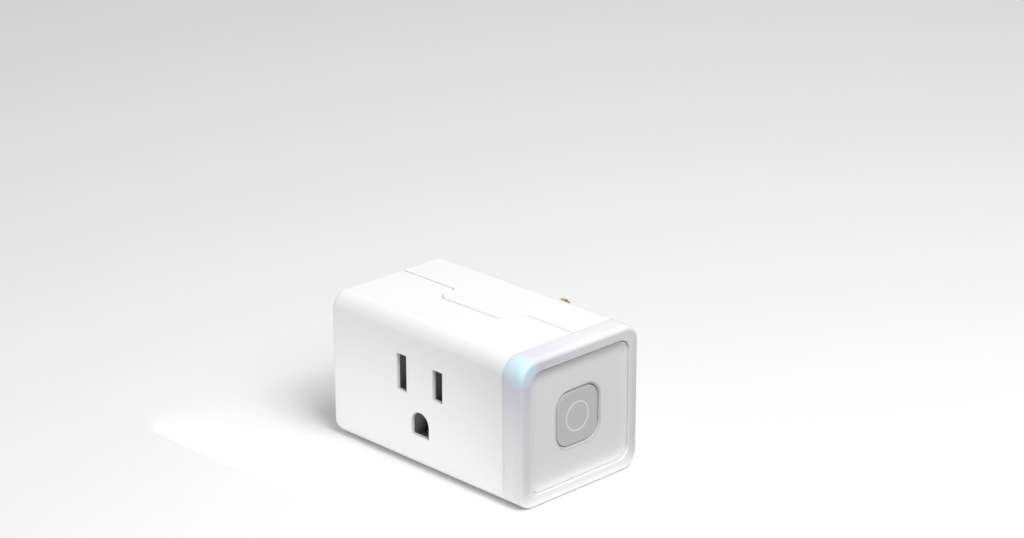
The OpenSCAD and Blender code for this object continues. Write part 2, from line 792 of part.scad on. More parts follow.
// Moulded package with count legs on each long side
module package(size, count, leg_w) {
    foot = size[1] + 2;
    translate([-size[0] / 2, -size[1] / 2, 0.2]) cube(size);
    for (i = [0:count - 1])
        translate([(i - (count - 1) / 2) * size[0] / count - leg_w / 2, -foot / 2, 0])
            cube([leg_w, foot, lead_t]);
}

module bridge_rectifier() color("black") on_board(bridge_at[0], bridge_at[1]) package(bridge_size, 2, 1);

module converter_chip() color("black") on_board(chip_at[0], chip_at[1]) package(chip_size, 4, 0.4);

// ---- radio board, standing on the main board near the closed end

module wifi_board() color("darkgreen")
    on_board(radio_x, z_mid - radio_size[1] / 2) translate([0, 0, header_size[2]])
        cube([radio_size[2], radio_size[1], radio_size[0]]);

module wifi_shield() color("silver")
    on_board(radio_x + radio_size[2], z_mid - shield_size[1] / 2)
        translate([0, 0, header_size[2] + radio_size[0] / 3]) cube(shield_size);

module board_header() color("black")
    on_board(radio_x + (radio_size[2] - header_size[0]) / 2, z_mid - header_size[1] / 2)
        cube(header_size);

// ---- relay

module relay_base() color("darkslateblue") in_relay() cube([relay_size[0], relay_size[1], relay_base_t]);

module relay_cover() color("royalblue") in_relay() difference() {
    translate([0, 0, relay_base_t]) cube([relay_size[0], relay_size[1], relay_size[2] - relay_base_t]);
    translate([relay_wall, relay_wall, 0])
        cube([relay_size[0] - 2 * relay_wall, relay_size[1] - 2 * relay_wall, relay_size[2] - relay_wall]);
}

module at_coil(h) {
    in_relay() translate([relay_size[0] / 2, coil_y, h]) children();
}

module relay_bobbin() color("wheat") at_coil(coil_h[0]) difference() {
    union() {
        for (h = [0, coil_h[1] - coil_h[0] - cheek_t])
            translate([0, 0, h]) cylinder(r = coil_r + 0.4, h = cheek_t);
        cylinder(r = core_r + fit_gap + sleeve_t, h = coil_h[1] - coil_h[0]);
    }
    translate([0, 0, -over]) cylinder(r = core_r + fit_gap, h = pole_h + over);
}

module relay_winding() color("sienna") at_coil(coil_h[0] + cheek_t) difference() {
    cylinder(r = coil_r, h = coil_h[1] - coil_h[0] - 2 * cheek_t);
    translate([0, 0, -over]) cylinder(r = core_r + fit_gap + sleeve_t, h = pole_h);
}

module relay_core() color("slategray") {
    at_coil(relay_base_t + yoke_t) cylinder(r = core_r, h = pole_h - relay_base_t - yoke_t);
    at_coil(pole_h - 0.5) cylinder(r = 2, h = 0.5);
}

module relay_yoke() color("slategray") in_relay() translate([yoke_x, 0, relay_base_t]) {
    translate([0, 1.6, 0]) cube([yoke_w, yoke_y + yoke_t - 1.6, yoke_t]);
    translate([0, yoke_y, 0]) cube([yoke_w, yoke_t, pole_h - relay_base_t]);
}

module relay_armature() color("lightslategray") in_relay()
    translate([yoke_x, armature_y[0], pole_h + pole_gap])
        cube([yoke_w, armature_y[1] - armature_y[0], armature_t]);

module relay_contact_arm() color("peru") in_relay() translate([(relay_size[0] - arm_w) / 2, 0, 0]) {
    top = pole_h + pole_gap + armature_t;
    translate([0, armature_y[1], top - arm_t]) cube([arm_w, arm_y + arm_t - armature_y[1], arm_t]);
    translate([0, arm_y, rivet_h - 1.5]) cube([arm_w, arm_t, top - rivet_h + 1.5]);
    contact_rivet(arm_y + arm_t);
}

module relay_fixed_contact() color("peru") in_relay() translate([(relay_size[0] - arm_w) / 2, 0, 0]) {
    y0 = arm_y + arm_t + rivet_t + contact_gap;
    contact_rivet(y0);
    translate([-0.3, y0 + rivet_t, relay_base_t]) cube([arm_w + 0.6, 0.5, rivet_h + 0.5]);
}

module contact_rivet(y) {
    translate([arm_w / 2, y + rivet_t, rivet_h]) rotate([90, 0, 0]) cylinder(r = rivet_r, h = rivet_t);
}

// ---- button end, inside

module status_board() color("seagreen") difference() {
    along_x(x_status, x_status_front) translate([y_mid, z_mid]) rrect(status_size[0], status_size[1], 1);
    for (p = leg_at)
        rod_x(y_mid + p[0], z_mid + p[1], small_screw_r + nest_gap, x_status - over, x_right);
    link_rods(nest_gap);
}

module status_leds() color("azure") for (p = led_at)
    translate([x_status_front, y_mid + p[0] - led_size[1] / 2, z_mid + p[1] - led_size[2] / 2])
        cube(led_size);

module switch_body() color("dimgray") difference() {
    on_button_axis(x_status_front, x_switch, switch_side, 0.4);
    rod_x(y_mid, z_mid, plunger_r + fit_gap, x_dome, x_right);
}

module switch_dome() color("silver") rod_x(y_mid, z_mid, plunger_r, x_dome, x_dome + dome_t);

module switch_plunger() color("black") rod_x(y_mid, z_mid, plunger_r, x_plunger - plunger_len, x_plunger);

module link_rods(grow) {
    half = pin_half + grow;
    for (z = link_z)
        block([board_x[1] - link_len - grow, x_status_front + 0.5 + grow], [link_y - half, link_y + half],
            [z - half, z + half]);
}

module link_header() color("black") difference() {
    block([board_x[1] - link_len, board_x[1] - 0.3], [-board_y, link_y + 1],
        [link_z[0] - 1, link_z[5] + 1]);
    link_rods(0);
}

module link_pins() color("gold") link_rods(0);

module panel_screws() color("silver") for (p = leg_at) {
    rod_x(y_mid + p[0], z_mid + p[1], small_screw_r, x_status, x_status_front + 2.5);
    rod_x(y_mid + p[0], z_mid + p[1], small_head_r, x_status - small_head_h, x_status);
}

module housing_screws() color("silver") at_case_screws()
    screw_y(0, -case_seat, 0, case_screw_r, case_screw_len, case_head_r, case_head_h, -1);

front_housing();
rear_cover();
light_ring();
end_panel();
power_button();
button_ring_mark();
rating_label();
neutral_blade();
line_blade();
ground_pin();
prong_retainer();
retainer_screws();
contact_carrier();
carrier_screws();
neutral_contact();
line_contact();
ground_contact();
neutral_busbar();
line_busbar();
ground_strap();
main_board();
board_screws();
insulation_sheet();
relay_base();
relay_bobbin();
relay_winding();
relay_core();
relay_yoke();
relay_armature();
relay_contact_arm();
relay_fixed_contact();
relay_cover();
bulk_capacitors();
transformer_core();
transformer_winding();
varistor();
fuse_resistor();
bridge_rectifier();
converter_chip();
wifi_board();
wifi_shield();
board_header();
status_board();
status_leds();
switch_body();
switch_dome();
switch_plunger();
link_header();
link_pins();
panel_screws();
housing_screws();
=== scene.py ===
import math

import bmesh
import bpy
from mathutils import Matrix, Vector


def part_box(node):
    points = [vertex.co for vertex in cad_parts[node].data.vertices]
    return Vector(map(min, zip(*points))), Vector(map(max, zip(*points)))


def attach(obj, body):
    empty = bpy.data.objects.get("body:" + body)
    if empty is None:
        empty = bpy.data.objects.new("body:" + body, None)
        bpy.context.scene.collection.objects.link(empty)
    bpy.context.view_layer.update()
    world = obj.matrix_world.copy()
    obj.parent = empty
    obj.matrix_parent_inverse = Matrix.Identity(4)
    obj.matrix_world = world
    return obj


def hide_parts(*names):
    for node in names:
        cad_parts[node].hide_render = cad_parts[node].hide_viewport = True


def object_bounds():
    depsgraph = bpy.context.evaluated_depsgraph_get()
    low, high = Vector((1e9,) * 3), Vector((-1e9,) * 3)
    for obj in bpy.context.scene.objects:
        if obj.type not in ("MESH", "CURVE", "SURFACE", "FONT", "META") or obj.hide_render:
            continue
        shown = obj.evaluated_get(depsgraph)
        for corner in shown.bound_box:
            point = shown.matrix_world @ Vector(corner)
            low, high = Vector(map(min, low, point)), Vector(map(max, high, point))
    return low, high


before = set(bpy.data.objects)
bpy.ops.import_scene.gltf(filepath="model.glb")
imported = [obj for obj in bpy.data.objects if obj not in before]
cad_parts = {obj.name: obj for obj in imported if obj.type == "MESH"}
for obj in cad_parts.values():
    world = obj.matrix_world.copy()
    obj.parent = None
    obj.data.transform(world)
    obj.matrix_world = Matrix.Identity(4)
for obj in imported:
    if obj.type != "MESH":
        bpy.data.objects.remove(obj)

mm = 0.001
tiny = 0.00001
cadBox = [list(corner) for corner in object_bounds()]
print("frame loaded with", len(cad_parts), "nodes")


# ---- camera, floor and light

view = {
    "turn": 45.62,  # degrees round the plug, from straight in front
    "rise": 20.40,
    "roll": -0.11,
    "distance": 693.13 * mm,
    "across": -6.182 * mm,
    "up": 16.872 * mm,
    "lens": 97.29,
}


def placeCamera():
    turn, rise, roll = (math.radians(view[k]) for k in ("turn", "rise", "roll"))
    back = Vector((math.sin(turn) * math.cos(rise), -math.cos(turn) * math.cos(rise), math.sin(rise)))
    flat = Vector((math.cos(turn), math.sin(turn), 0))
    upright = back.cross(flat)
    right = flat * math.cos(roll) + upright * math.sin(roll)
    up = upright * math.cos(roll) - flat * math.sin(roll)
    at = right * view["across"] + up * view["up"] + back * view["distance"]
    bpy.ops.object.camera_add(location=at)
    camera = bpy.context.object
    camera.name = "camera"
    camera.matrix_world = Matrix((
        (right.x, up.x, back.x, at.x),
        (right.y, up.y, back.y, at.y),
        (right.z, up.z, back.z, at.z),
        (0, 0, 0, 1)))
    camera.data.lens = view["lens"]
    camera.data.sensor_width = 36
    camera.data.clip_start = 0.01
    bpy.context.scene.camera = camera


def clearSelection():
    if bpy.context.object and bpy.context.object.mode != "OBJECT":
        bpy.ops.object.mode_set(mode="OBJECT")
    bpy.ops.object.select_all(action="DESELECT")


studio = {
    "floor": (0.93, 0.93, 0.935, 1),
    "floorSize": 6.0,
    "ambient": 0.32,
    "card": {"away": 3 * mm, "lift": 1 * mm, "size": (0.5, 0.6), "tone": 0.02},
    "soft": [  # name, place, length and width, watts, aimed at
        ("lightAbove", (0.45, -0.10, 0.80), (0.5, 0.5), 5.6, (0, -0.02, 0)),
        ("lightEnd", (0.60, -0.15, 0.60), (0.4, 0.4), 2.2, (0.035, -0.02, 0)),
        ("lightFrontLow", (0.0, -0.072, -0.0195), (0.13, 0.010), 0.0052, (0, -0.04, -0.016)),
        ("lightBehind", (-0.55, 0.55, 0.60), (0.7, 0.7), 0.9, (-0.25, 0.30, -0.02)),
    ],
}


def lightStudio():
    world = bpy.data.worlds.new("softRoom")
    world.use_nodes = True
    world.node_tree.nodes["Background"].inputs["Color"].default_value = (1, 1, 1, 1)
    world.node_tree.nodes["Background"].inputs["Strength"].default_value = studio["ambient"]
    bpy.context.scene.world = world
    bpy.context.scene.view_settings.view_transform = "Standard"
    for name, place, size, watts, target in studio["soft"]:
        bpy.ops.object.light_add(type="AREA", location=place)
        lamp = bpy.context.object
        lamp.name = name
        lamp.data.shape = "RECTANGLE"
        lamp.data.size, lamp.data.size_y = size
        lamp.data.energy = watts
        lamp.visible_camera = False
        aim = Vector(target) - Vector(place)
        lamp.rotation_euler = aim.to_track_quat("-Z", "Y").to_euler()


# ---- small tools for the pieces

def settle(piece):  # the place goes into the mesh, and the object sits at the origin
    clearSelection()
    piece.select_set(True)
    bpy.context.view_layer.objects.active = piece
    bpy.ops.object.transform_apply(location=True, rotation=True, scale=True)


def addBlock(name, low, high):
    clearSelection()
    middle = [(a + b) / 2 for a, b in zip(low, high)]
    size = [b - a for a, b in zip(low, high)]
    bpy.ops.mesh.primitive_cube_add(size=1, location=middle, scale=size)
    piece = bpy.context.object
    piece.name = piece.data.name = name
    settle(piece)
    return piece


def addRod(name, axis, middle, radius, start, end, sides=48):
    clearSelection()
    along = "XYZ".index(axis)
    place = list(middle)
    place[along] = (start + end) / 2
    turn = {"X": (0, math.pi / 2, 0), "Y": (math.pi / 2, 0, 0), "Z": (0, 0, 0)}[axis]
    bpy.ops.mesh.primitive_cylinder_add(
        vertices=sides, radius=radius, depth=end - start, location=place, rotation=turn)
    piece = bpy.context.object
    piece.name = piece.data.name = name
    settle(piece)
    return piece


def openEdit(piece, kind="EDGE"):
    clearSelection()
    piece.select_set(True)
    bpy.context.view_layer.objects.active = piece
    bpy.ops.object.mode_set(mode="EDIT")
    bpy.ops.mesh.select_mode(type=kind)
    bpy.ops.mesh.select_all(action="DESELECT")


def closeEdit():
    bpy.ops.object.mode_set(mode="OBJECT")


def pickEdges(piece, wanted):
    bpy.ops.mesh.select_mode(type="EDGE")
    bpy.ops.mesh.select_all(action="DESELECT")
    mesh = bmesh.from_edit_mesh(piece.data)
    for edge in mesh.edges:
        if wanted(edge.verts[0].co, edge.verts[1].co):
            edge.select_set(True)
    bmesh.update_edit_mesh(piece.data)


def pickFaces(piece, wanted):
    bpy.ops.mesh.select_mode(type="FACE")
    bpy.ops.mesh.select_all(action="DESELECT")
    mesh = bmesh.from_edit_mesh(piece.data)
    mesh.normal_update()
    for face in mesh.faces:
        if wanted(face.calc_center_median(), face.normal):
            face.select_set(True)
    bmesh.update_edit_mesh(piece.data)


def level(axis, value):  # edges that lie at one place on an axis
    i = "XYZ".index(axis)
    return lambda a, b: abs(a[i] - value) < tiny and abs(b[i] - value) < tiny


def facing(axis, sign):
    i = "XYZ".index(axis)
    return lambda middle, normal: normal[i] * sign > 0.99


def bevelPicked(width, steps):
    bpy.ops.mesh.bevel(offset=width, offset_type="OFFSET", segments=steps, profile=0.5, affect="EDGES")


def extrudePicked(move):
    bpy.ops.mesh.extrude_region_move(TRANSFORM_OT_translate={"value": move})


def roundedBlock(name, low, high, radius, axis="X", steps=10):
    piece = addBlock(name, low, high)
    along = "XYZ".index(axis)
    others = [i for i in range(3) if i != along]
    openEdit(piece)
    pickEdges(piece, lambda a, b: all(abs(a[i] - b[i]) < tiny for i in others))
    bevelPicked(radius, steps)
    closeEdit()
    return piece


def cleanUp(piece):  # stray points and lines that a cut leaves
    openEdit(piece, "VERT")
    bpy.ops.mesh.select_all(action="SELECT")
    bpy.ops.mesh.remove_doubles(threshold=0.004 * mm)
    bpy.ops.mesh.dissolve_limited(angle_limit=math.radians(0.3))
    bpy.ops.mesh.normals_make_consistent(inside=False)
    closeEdit()


def combine(piece, tool, how):
    clearSelection()
    piece.select_set(True)
    bpy.context.view_layer.objects.active = piece
    step = piece.modifiers.new("combine", "BOOLEAN")
    step.operation = how
    step.object = tool
    step.solver = "EXACT"
    bpy.ops.object.modifier_apply(modifier=step.name)
    bpy.data.objects.remove(tool, do_unlink=True)


def cutWith(piece, *tools):
    for tool in tools:
        combine(piece, tool, "DIFFERENCE")


def addTo(piece, *tools):
    for tool in tools:
        combine(piece, tool, "UNION")


def soften(piece, width, steps=2, angle=35):  # the small round that moulded and stamped edges have
    cleanUp(piece)
    clearSelection()
    piece.select_set(True)
    bpy.context.view_layer.objects.active = piece
    step = piece.modifiers.new("soften", "BEVEL")
    step.width = width
    step.segments = steps
    step.limit_method = "ANGLE"
    step.angle_limit = math.radians(angle)
    step.use_clamp_overlap = False
    step.harden_normals = False
    bpy.ops.object.modifier_apply(modifier=step.name)
    bpy.ops.object.shade_smooth_by_angle(angle=math.radians(angle))
    step = piece.modifiers.new("evenShade", "WEIGHTED_NORMAL")
    step.keep_sharp = True
    bpy.ops.object.modifier_apply(modifier=step.name)


def copyOf(piece, name, move):
    twin = piece.copy()
    twin.data = piece.data.copy()
    twin.name = twin.data.name = name
    bpy.context.scene.collection.objects.link(twin)
    twin.location = move
    settle(twin)
    return twin


def joinPieces(name, pieces):
    clearSelection()
    for piece in pieces:
        piece.select_set(True)
    bpy.context.view_layer.objects.active = pieces[0]
    bpy.ops.object.join()
    pieces[0].name = pieces[0].data.name = name
    return pieces[0]


def finishPiece(piece, material, slot, body, *nodes):
    piece.data.materials.clear()
    piece.data.materials.append(material)
    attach(piece, body)
    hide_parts(*nodes)
    print("made", piece.name, len(piece.data.polygons), "faces")


# ---- surface effects that several materials share

def newGroup(name, inputs, outputs):
    group = bpy.data.node_groups.new(name, "ShaderNodeTree")
    for label, kind, value in inputs:
        socket = group.interface.new_socket(name=label, in_out="INPUT", socket_type="NodeSocket" + kind)
        socket.default_value = value
    for label, kind in outputs:
        group.interface.new_socket(name=label, in_out="OUTPUT", socket_type="NodeSocket" + kind)
    return group, group.nodes.new("NodeGroupInput"), group.nodes.new("NodeGroupOutput")


def addNode(tree, kind, **settings):
    node = tree.nodes.new("ShaderNode" + kind)
    for key, value in settings.items():
        if key in node.inputs:
            node.inputs[key].default_value = value
        else:
            setattr(node, key, value)
    return node


def mathNode(tree, operation, a, b=None, clamp=False):
    node = tree.nodes.new("ShaderNodeMath")
    node.operation = operation
    node.use_clamp = clamp
    for i, value in enumerate((a, b)):
        if value is None:
            continue
        if isinstance(value, (int, float)):
            node.inputs[i].default_value = value
        else:
            tree.links.new(value, node.inputs[i])
    return node.outputs[0]


def mixColor(tree, amount, a, b, blend="MIX"):
    node = tree.nodes.new("ShaderNodeMix")
    node.data_type = "RGBA"
    node.blend_type = blend
    for socket, value in ((node.inputs["Factor"], amount), (node.inputs["A"], a), (node.inputs["B"], b)):
        target = socket
        if socket.type != "RGBA" and socket.name != "Factor":
            target = [s for s in node.inputs if s.name == socket.name and s.type == "RGBA"][0]
        if isinstance(value, bpy.types.NodeSocket):
            tree.links.new(value, target)
        elif isinstance(value, (int, float)):
            target.default_value = value
        else:
            target.default_value = tuple(value)
    return [s for s in node.outputs if s.type == "RGBA"][0]


def rampNode(tree, value, stops):
    node = tree.nodes.new("ShaderNodeValToRGB")
    node.color_ramp.interpolation = "EASE"
    ramp = node.color_ramp.elements
    while len(ramp) < len(stops):
        ramp.new(0.5)
    for element, (at, color) in zip(ramp, stops):
        element.position = at
        element.color = color if len(color) == 4 else (*color, 1)
    tree.links.new(value, node.inputs["Fac"])
    return node.outputs["Color"]


def makeMouldedGrain():  # the fine spark texture and slight unevenness of moulded plastic
    tree, start, end = newGroup("mouldedGrain", [
        ("Color", "Color", (0.8, 0.8, 0.8, 1)),
        ("Unevenness", "Float", 0.02),
        ("Roughness", "Float", 0.4),
        ("Grains per metre", "Float", 4000.0)],
        [("Color", "Color"), ("Roughness", "Float"), ("Height", "Float")])
    where = addNode(tree, "TexCoord")
    fine = addNode(tree, "TexNoise", Detail=2.0)
    broad = addNode(tree, "TexNoise", Scale=45.0, Detail=2.0)
    tree.links.new(where.outputs["Object"], fine.inputs["Vector"])
    tree.links.new(where.outputs["Object"], broad.inputs["Vector"])
    tree.links.new(start.outputs["Grains per metre"], fine.inputs["Scale"])
    drift = mathNode(tree, "SUBTRACT", broad.outputs["Fac"], 0.5)
    shade = mathNode(tree, "MULTIPLY", drift, start.outputs["Unevenness"])
    shade = mathNode(tree, "ADD", shade, 1.0)
    gain = addNode(tree, "CombineXYZ")
    for axis in "XYZ":
        tree.links.new(shade, gain.inputs[axis])
    tree.links.new(mixColor(tree, 1.0, start.outputs["Color"], gain.outputs[0], "MULTIPLY"),
                   end.inputs["Color"])
    rough = mathNode(tree, "MULTIPLY", mathNode(tree, "SUBTRACT", fine.outputs["Fac"], 0.5), 0.12)
    rough = mathNode(tree, "ADD", rough, mathNode(tree, "MULTIPLY", drift, 0.10))
    tree.links.new(mathNode(tree, "ADD", rough, start.outputs["Roughness"], clamp=True),
                   end.inputs["Roughness"])
    tree.links.new(fine.outputs["Fac"], end.inputs["Height"])
    return tree


def makeDrawnGrain():  # the long fine lines of rolled and drawn metal
    tree, start, end = newGroup("drawnGrain", [
        ("Color", "Color", (0.8, 0.7, 0.4, 1)),
        ("Tarnish", "Color", (0.5, 0.4, 0.2, 1)),
        ("Tarnish amount", "Float", 0.25),
        ("Roughness", "Float", 0.25),
        ("Stretch", "Vector", (3000.0, 120.0, 3000.0))],
        [("Color", "Color"), ("Roughness", "Float"), ("Height", "Float")])
    where = addNode(tree, "TexCoord")
    stretch = addNode(tree, "VectorMath", operation="MULTIPLY")
    tree.links.new(where.outputs["Object"], stretch.inputs[0])
    tree.links.new(start.outputs["Stretch"], stretch.inputs[1])
    lines = addNode(tree, "TexNoise", Scale=1.0, Detail=3.0)
    tree.links.new(stretch.outputs[0], lines.inputs["Vector"])
    patches = addNode(tree, "TexNoise", Scale=260.0, Detail=4.0)
    tree.links.new(where.outputs["Object"], patches.inputs["Vector"])
    stain = mathNode(tree, "MULTIPLY", patches.outputs["Fac"], start.outputs["Tarnish amount"])
    tree.links.new(mixColor(tree, stain, start.outputs["Color"], start.outputs["Tarnish"]),
                   end.inputs["Color"])
    rough = mathNode(tree, "MULTIPLY", mathNode(tree, "SUBTRACT", lines.outputs["Fac"], 0.5), 0.25)
    rough = mathNode(tree, "ADD", rough, mathNode(tree, "MULTIPLY", stain, 0.3))
    tree.links.new(mathNode(tree, "ADD", rough, start.outputs["Roughness"], clamp=True),
                   end.inputs["Roughness"])
    tree.links.new(lines.outputs["Fac"], end.inputs["Height"])
    return tree


def makeWoundTurns():  # turns of wire or tape round a rod
    tree, start, end = newGroup("woundTurns", [
        ("Color", "Color", (0.7, 0.3, 0.1, 1)),
        ("Gap color", "Color", (0.2, 0.08, 0.03, 1)),
        ("Turns per metre", "Float", 4000.0),
        ("Axis", "Vector", (0.0, 1.0, 0.0))],
        [("Color", "Color"), ("Height", "Float")])
    where = addNode(tree, "TexCoord")
    along = addNode(tree, "VectorMath", operation="DOT_PRODUCT")
    tree.links.new(where.outputs["Object"], along.inputs[0])
    tree.links.new(start.outputs["Axis"], along.inputs[1])
    turn = mathNode(tree, "MULTIPLY", along.outputs["Value"], start.outputs["Turns per metre"])
    turn = mathNode(tree, "MULTIPLY", turn, 2 * math.pi)
    wave = mathNode(tree, "MULTIPLY", mathNode(tree, "ADD", mathNode(tree, "SINE", turn), 1.0), 0.5)
    crown = mathNode(tree, "POWER", wave, 0.5)
    tree.links.new(mixColor(tree, crown, start.outputs["Gap color"], start.outputs["Color"]),
                   end.inputs["Color"])
    tree.links.new(crown, end.inputs["Height"])
    return tree


effects = {
    "mouldedGrain": makeMouldedGrain(),
    "drawnGrain": makeDrawnGrain(),
    "woundTurns": makeWoundTurns(),
}


def placeGroup(tree, name, **values):
    node = tree.nodes.new("ShaderNodeGroup")
    node.node_tree = effects[name]
    for label, value in values.items():
        socket = node.inputs[label.replace("_", " ")]
        if isinstance(value, bpy.types.NodeSocket):
            tree.links.new(value, socket)
        else:
            socket.default_value = value
    return node


def newMaterial(name, **sockets):
    material = bpy.data.materials.new(name)
    material.use_nodes = True
    shader = material.node_tree.nodes["Principled BSDF"]
    for label, value in sockets.items():
        shader.inputs[label.replace("_", " ")].default_value = value
    return material, material.node_tree, shader


def bumpInto(tree, shader, height, strength, distance):
    bump = addNode(tree, "Bump", Strength=strength, Distance=distance)
    tree.links.new(height, bump.inputs["Height"])
    tree.links.new(bump.outputs["Normal"], shader.inputs["Normal"])


def plastic(name, color, roughness, uneven, grains, bump, **sockets):
    material, tree, shader = newMaterial(name, **sockets)
    grain = placeGroup(tree, "mouldedGrain", Color=(*color, 1), Unevenness=uneven, Roughness=roughness,
                       Grains_per_metre=grains)
    tree.links.new(grain.outputs["Color"], shader.inputs["Base Color"])
    tree.links.new(grain.outputs["Roughness"], shader.inputs["Roughness"])
    bumpInto(tree, shader, grain.outputs["Height"], bump, 0.02 * mm)
    return material


def metal(name, color, tarnish, roughness, amount, stretch=(3000.0, 120.0, 3000.0)):
    material, tree, shader = newMaterial(name, Metallic=1.0)
    grain = placeGroup(tree, "drawnGrain", Color=(*color, 1), Tarnish=(*tarnish, 1), Tarnish_amount=amount,
                       Roughness=roughness, Stretch=stretch)
    tree.links.new(grain.outputs["Color"], shader.inputs["Base Color"])
    tree.links.new(grain.outputs["Roughness"], shader.inputs["Roughness"])
    bumpInto(tree, shader, grain.outputs["Height"], 0.12, 0.01 * mm)
    return material


def wound(name, color, gapColor, turns, axis, roughness=0.35, bump=0.6, **sockets):
    material, tree, shader = newMaterial(name, Roughness=roughness, **sockets)
    turnsNode = placeGroup(tree, "woundTurns", Color=(*color, 1), Gap_color=(*gapColor, 1),
                           Turns_per_metre=turns, Axis=axis)
    tree.links.new(turnsNode.outputs["Color"], shader.inputs["Base Color"])
    bumpInto(tree, shader, turnsNode.outputs["Height"], bump, 0.05 * mm)
    return material


# ---- the case

print("modelling the case")
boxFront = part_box("front_housing")
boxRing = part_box("light_ring")
middleY = boxFront[0].y / 2
middleZ = (boxFront[0].z + boxFront[1].z) / 2
past = 1 * mm  # how far a cutter reaches past the surface that it opens

case = {
    "left": boxFront[0].x,
    "seam": boxRing[1].x - 6.2 * mm,
    "front": boxFront[0].y,
    "low": boxFront[0].z,
    "high": boxFront[1].z,
    "halfDepth": 20 * mm,
    "halfHeight": 19 * mm,
    "edgeRadius": 4.6 * mm,
    "endRadius": 1.2 * mm,
    "wall": 2.0 * mm,
    "partingDepth": 16.6 * mm,
    "coverInset": 0.9 * mm,
    "tabWidth": 23.4 * mm,
    "tabReach": 6.3 * mm,
    "tabRadius": 3.0 * mm,
    "tabRootRadius": 1.5 * mm,
    "partingGap": 0.26 * mm,
    "softEdge": 0.12 * mm,
    "screws": [(x * mm, z * mm) for x in (-26.2, 23.8) for z in (8.1, -18.3)],
}
coverLip = {  # the cover's lips behind the parting line, at the top and at the bottom
    "left": 4.6 * mm,
    "right": 2.4 * mm,
    "reach": 2 * mm,
    "thickness": 0.8 * mm,
    "gap": 0.1 * mm,
    "overlap": 0.7 * mm,
    "rootDepth": 1 * mm,
}
posts = {  # the front's posts and the cover's bosses, which the case screws hold together
    "radius": 2.4 * mm,
    "pilot": 1.0 * mm,
    "pilotEnd": -25 * mm,
    "meet": -14 * mm,
    "bossRadius": 3.0 * mm,
    "counterbore": 2.0 * mm,
    "counterboreFloor": -9 * mm,
    "clearance": 1.1 * mm,
}
slots = {
    "neutral": (-6.35 * mm, 4.75 * mm),  # middle x and half height
    "line": (6.35 * mm, 3.95 * mm),
    "width": 3.45 * mm,
    "wall": 1.2 * mm,  # the wall is thinner round the slots
    "reliefWidth": 5.2 * mm,
    "reliefGrow": 0.8 * mm,
    "cutDepth": 3 * mm,
    "groundZ": -11.9 * mm,
    "groundRadius": 3.125 * mm,
}


def makeShell(name):
    shell = roundedBlock(name, (case["left"], case["front"], case["low"]),
                         (case["seam"], 0, case["high"]), case["edgeRadius"], "X", 12)
    openEdit(shell)
    pickEdges(shell, level("X", case["left"]))
    bevelPicked(case["endRadius"], 5)
    pickFaces(shell, facing("X", 1))
    bpy.ops.mesh.inset(thickness=case["wall"])
    extrudePicked((case["left"] + case["wall"] - case["seam"], 0, 0))
    closeEdit()
    return shell


def makeCoverSide(grow):  # all that belongs to the rear cover's side of the parting line
    front = -case["partingDepth"] - grow
    half = case["tabWidth"] / 2 + grow
    side = addBlock("coverSide",
                    (case["left"] + case["coverInset"] - grow, front, case["low"] - 3 * past),
                    (case["seam"] + 3 * past, 3 * past, case["high"] + 3 * past))
    openEdit(side)
    cuts = (((-half, 0, 0), (1, 0, 0)), ((half, 0, 0), (1, 0, 0)), ((0, 0, middleZ), (0, 0, 1)))
    for at, normal in cuts:
        bpy.ops.mesh.select_all(action="SELECT")
        bpy.ops.mesh.bisect(plane_co=at, plane_no=normal)
    pickFaces(side, lambda m, n: n.y < -0.99 and abs(m.x) < half and m.z > middleZ)
    extrudePicked((0, -case["tabReach"], 0))
    upright = lambda a, b: (abs(a.x - b.x) < tiny and abs(a.y - b.y) < tiny
                            and max(a.z, b.z) > middleZ + tiny and abs(abs(a.x) - half) < tiny)
    pickEdges(side, lambda a, b: upright(a, b) and abs(a.y - front + case["tabReach"]) < tiny)
    bevelPicked(case["tabRadius"] + grow, 10)
    pickEdges(side, lambda a, b: upright(a, b) and abs(a.y - front) < tiny)
    bevelPicked(case["tabRootRadius"] - grow, 8)
    closeEdit()
    return side


def slotCutter(name, x, half, low, high):
    return addBlock(name, (x - slots["width"] / 2, low, -half), (x + slots["width"] / 2, high, half))


def groundCutter(name, low, high, grow=0.0):  # flat below, half round above
    r = slots["groundRadius"] + grow
    z = slots["groundZ"]
    piece = addBlock(name, (-r, low, z - r), (r, high, z + r))
    openEdit(piece)
    pickEdges(piece, lambda a, b: abs(a.z - z - r) < tiny and abs(b.z - z - r) < tiny
              and abs(a.x - b.x) < tiny)
    bevelPicked(r * 0.9999, 14)
    closeEdit()
    return piece


def makeCaseFront():
    shell = makeShell("caseFront")
    cutWith(shell, makeCoverSide(case["partingGap"] / 2))
    for x, z in case["screws"]:
        addTo(shell, addRod("post", "Y", (x, 0, z), posts["radius"], case["front"] + past, posts["meet"]))
        cutWith(shell, addRod("pilot", "Y", (x, 0, z), posts["pilot"], posts["pilotEnd"],
                              posts["meet"] + past, 24))
    low, high = case["front"] - past, case["front"] + slots["cutDepth"]
    thin = case["front"] + slots["wall"]
    wide, grow = slots["reliefWidth"] / 2, slots["reliefGrow"]
    for x, half in (slots["neutral"], slots["line"]):  # a relief behind each slot, then the slot
        cutWith(shell, addBlock("relief", (x - wide, thin, -half - grow), (x + wide, high, half + grow)))
        cutWith(shell, slotCutter("slot", x, half, low, high))
    cutWith(shell, groundCutter("relief", thin, high, grow), groundCutter("slot", low, high))
    soften(shell, case["softEdge"])
    return shell


def lipBlock(name, start, ends):
    line = -case["partingDepth"]
    return addBlock(name, (case["left"] + coverLip["left"], line + start, min(ends)),
                    (case["seam"] - coverLip["right"], line + coverLip["reach"], max(ends)))


